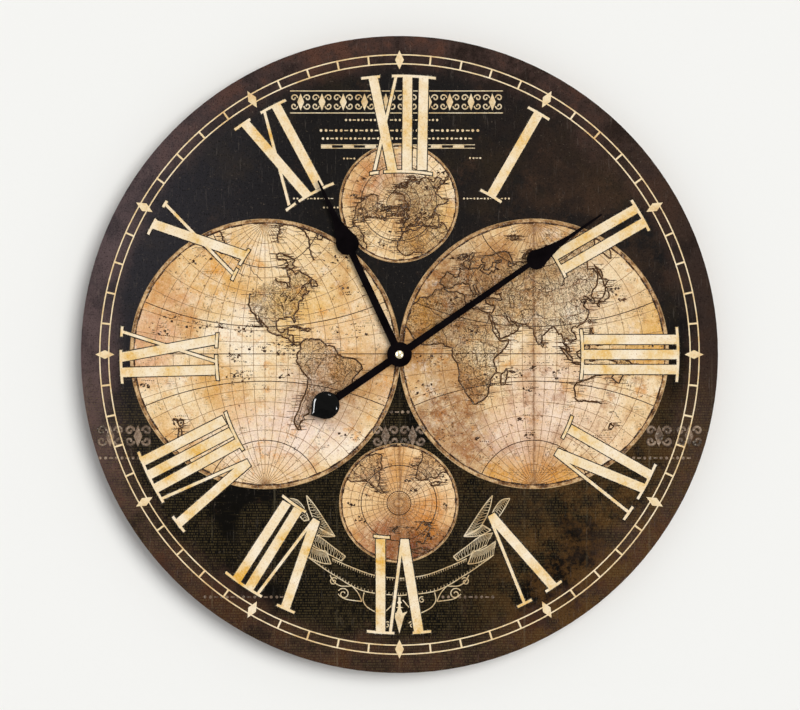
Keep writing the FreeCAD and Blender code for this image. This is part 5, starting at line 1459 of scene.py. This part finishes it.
def circuitLaminate():
    material, tree, shader, where = newFinish("circuitLaminate", 0.45, 0.4)
    flat = stretched(tree, where, (1.0, 1.0, 1.0), (1.5708, 0.0, 0.0))
    weave = put(tree, "TexBrick", {"Vector": flat, "Scale": 900.0}).outputs[1]
    cloud = clouds(tree, where, 120.0, 4.0)
    base = toned(tree, cloud, [(0.35, "6d4a1d"), (0.66, "94692f")])
    base = washed(tree, base, times(tree, weave, 0.2), "c09a58")
    wire(tree, shader, base, between(tree, cloud, 0.3, 0.7, 0.4, 0.55), weave, 0.00003, 0.3)
    return material


def woundCopper():
    material, tree, shader, where = newFinish("woundCopper", 0.3, 0.5, 1.0)
    low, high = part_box("coil_winding")
    size = high - low
    axis = max(range(3), key=lambda k: size[k])
    feeds = {"Vector": where, "Scale": 1600.0, "Distortion": 0.4}
    turns = put(tree, "TexWave", feeds, bands_direction="XYZ"[axis]).outputs[1]
    cloud = clouds(tree, where, 300.0, 4.0)
    base = toned(tree, cloud, [(0.35, "8c4322"), (0.66, "c4703c")])
    wire(tree, shader, base, between(tree, cloud, 0.3, 0.7, 0.25, 0.4), turns, 0.00008, 0.7)
    return material


def cellJacket():
    # a plain cell: dark sleeve with a coppery band at its positive end and bare steel ends
    material, tree, shader, where = newFinish("cellJacket", 0.35, 0.5)
    low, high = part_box("battery")
    axes = put(tree, "SeparateXYZ", {0: where}).outputs
    share = between(tree, axes[0], low.x, high.x)
    cloud = clouds(tree, where, 140.0, 4.0)
    sleeve = toned(tree, cloud, [(0.35, "161719"), (0.66, "242629")])
    band = toned(tree, cloud, [(0.35, "a4713a"), (0.66, "c08a4b")])
    split = sums(tree, "GREATER_THAN", share, 0.68)
    base = mixed(tree, split, sleeve, band)
    button = sums(tree, "GREATER_THAN", share, 0.965)
    ends = sums(tree, "MAXIMUM", button, sums(tree, "LESS_THAN", share, 0.012))
    base = washed(tree, base, ends, "b4b6b8")
    tree.links.new(times(tree, ends, 0.9), shader.inputs["Metallic"])
    scuff = clouds(tree, stretched(tree, where, (0.1, 1.0, 1.0)), 800.0, 3.0)
    wire(tree, shader, base, between(tree, scuff, 0.3, 0.7, 0.26, 0.42), scuff, 0.00003, 0.2)
    return material


slotFinish = {slot: plainFinish(look) for slot, look in plainLook.items()}
slotFinish |= {
    "print": darkPrint(faceLook), "painted_board": fibreBoard(), "batten_wood": softwood(),
    "zinc_steel": galvanised(), "circuit": circuitLaminate(), "copper": woundCopper(),
    "cell_jacket": cellJacket(), "weight_paint": bpy.data.materials["blackGloss"],
}
nodeSlots = {
    "painted_board": ["dial_board"],
    "print": ["printed_face"],
    "zinc_steel": ["hanger_plate", "contact_positive", "contact_negative"],
    "screws": ["hanger_screws"],
    "cap_nut": ["cap_nut"],
    "case_plastic": ["movement_case", "rear_cover", "setting_knob"],
    "brass": ["threaded_bush", "brass_washer", "fixing_nut", "minute_tube", "hour_hand_collet"],
    "rubber": ["rubber_washer"],
    "circuit": ["circuit_board"],
    "resin": ["chip"],
    "steel": ["quartz_crystal", "coil_core", "stator", "clutch_spring"],
    "copper": ["coil_winding"],
    "hand_paint": ["minute_hand", "hour_hand"],
    "weight_paint": ["counterweight"],
    "cell_jacket": ["battery"],
}
finishOf = {node: slotFinish[slot] for slot, nodes in nodeSlots.items() for node in nodes}
for node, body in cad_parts.items():
    spare = "batten_wood" if "batten" in node else "inner_plastic"
    for slotPlace in body.material_slots:
        slotPlace.material = finishOf.get(node, slotFinish[spare])
print("clock: finishes")


stageLook = {
    "wall": "f4f3ee", "floor": "efeeea", "floorHeight": -0.95, "softness": 0.62,
    "world": 0.45, "ambient": "f8faff",
    "distance": 3.0, "sensor": 36.0, "photoWidth": 800, "photoMiddle": (400, 355),
    # soft, distant light from the upper right in front, and from above behind for floor and back
    "suns": [("keyLight", 2.12, (-0.48, 1.0, -0.277)), ("rearLight", 2.6, (0.2, -1.0, -1.0))],
    # lamps seen only in the gloss: a tall one on the left, small ones low on the right and above
    "strips": [
        ("glossLight", (-2.6, -1.6, 0.2), 0.4, 2.0, 300.0),
        ("lowGloss", (1.6, -1.3, -0.75), 0.3, 0.35, 45.0), ("highGloss", (0.5, -1.6, 1.5), 0.5, 0.35, 75.0),
    ],
}


def stagePlane(name, corners, material):
    bm = bmesh.new()
    verts = [bm.verts.new(corner) for corner in corners]
    bm.faces.new(verts)
    mesh = bpy.data.meshes.new(name)
    bm.to_mesh(mesh)
    bm.free()
    mesh.materials.append(material)
    piece = bpy.data.objects.new(name, mesh)
    scene.collection.objects.link(piece)
    return piece


def wallPaint():
    # solid only for a camera in front of it, so that the back of the clock can be looked at
    material, tree, shader, where = newFinish("wallPaint", 0.9, 0.0)
    grain = between(tree, clouds(tree, where, 300.0, 4.0), 0.4, 0.6, 0.0, 0.02)
    wire(tree, shader, mixed(tree, grain, shade(stageLook["wall"]), shade("ffffff")))
    path = put(tree, "LightPath").outputs
    rear = put(tree, "NewGeometry").outputs["Backfacing"]
    solid = times(tree, path["Is Camera Ray"], sums(tree, "SUBTRACT", 1.0, rear))
    # and for later bounces, so that no light comes through it into the gap behind the board
    solid = sums(tree, "MAXIMUM", solid, sums(tree, "GREATER_THAN", path["Ray Depth"], 1.5))
    clear = put(tree, "BsdfTransparent").outputs[0]
    join = put(tree, "MixShader", {0: solid, 1: clear, 2: shader.outputs[0]})
    tree.links.new(join.outputs[0], tree.nodes["Material Output"].inputs["Surface"])
    return material


def floorPaint():
    material, tree, shader, where = newFinish("floorPaint", 0.85, 0.1)
    grain = clouds(tree, where, 120.0, 5.0)
    pale = between(tree, grain, 0.4, 0.6, 0.0, 0.05)
    base = mixed(tree, pale, shade(stageLook["floor"]), shade("ffffff"))
    wire(tree, shader, base, None, grain, 0.0003, 0.1)
    return material


low = stageLook["floorHeight"]
stagePlane("wall", [(-6, 0.0004, low), (6, 0.0004, low), (6, 0.0004, 5), (-6, 0.0004, 5)], wallPaint())
floor = stagePlane("floor", [(-8, -8, low), (8, -8, low), (8, 8, low), (-8, 8, low)], floorPaint())
floor.visible_diffuse = False  # it throws no light back up at the clock


def addLamp(name, kind, strength, aim, place=(0.0, 0.0, 0.0)):
    lamp = bpy.data.lights.new(name, kind)
    lamp.energy = strength
    holder = bpy.data.objects.new(name, lamp)
    scene.collection.objects.link(holder)
    holder.location = place
    holder.rotation_euler = Vector(aim).to_track_quat("-Z", "Y").to_euler()
    return holder


for name, strength, aim in stageLook["suns"]:
    sun = addLamp(name, "SUN", strength, aim)
    sun.data.angle = stageLook["softness"]
    sun.visible_glossy = False
for name, place, width, height, power in stageLook["strips"]:
    strip = addLamp(name, "AREA", power, Vector((0.0, 0.0, dial["centre"][2])) - Vector(place), place)
    strip.data.shape = "RECTANGLE"
    strip.data.size = width
    strip.data.size_y = height
    strip.visible_diffuse = False

world = bpy.data.worlds.new("studio")
scene.world = world
world.use_nodes = True
worldTree = world.node_tree
rays = put(worldTree, "LightPath").outputs
seen = sums(worldTree, "MAXIMUM", rays["Is Glossy Ray"], rays["Is Transmission Ray"])
seen = sums(worldTree, "MAXIMUM", rays["Is Camera Ray"], seen)
feeds = {"Color": shade(stageLook["ambient"]), "Strength": stageLook["world"]}
ambient = put(worldTree, "Background", feeds).outputs[0]
backdrop = put(worldTree, "Background", {"Color": shade(stageLook["wall"]), "Strength": 1.0}).outputs[0]
both = put(worldTree, "MixShader", {0: seen, 1: ambient, 2: backdrop}).outputs[0]
worldTree.links.new(both, worldTree.nodes["World Output"].inputs["Surface"])

camera = bpy.data.cameras.new("camera")
camera.sensor_width = stageLook["sensor"]
frameWidth = stageLook["photoWidth"] * dial["pixel"] / 1000
camera.lens = stageLook["sensor"] * stageLook["distance"] / frameWidth
cameraHolder = bpy.data.objects.new("camera", camera)
scene.collection.objects.link(cameraHolder)
frameMiddle = spot(*stageLook["photoMiddle"]) / 1000
x, y, z = dial["centre"]
cameraHolder.location = (x + frameMiddle.x, y - stageLook["distance"], z + frameMiddle.y)
cameraHolder.rotation_euler = (math.radians(90), 0.0, 0.0)
scene.camera = cameraHolder
scene.view_settings.view_transform = "Standard"
print("clock: stage")
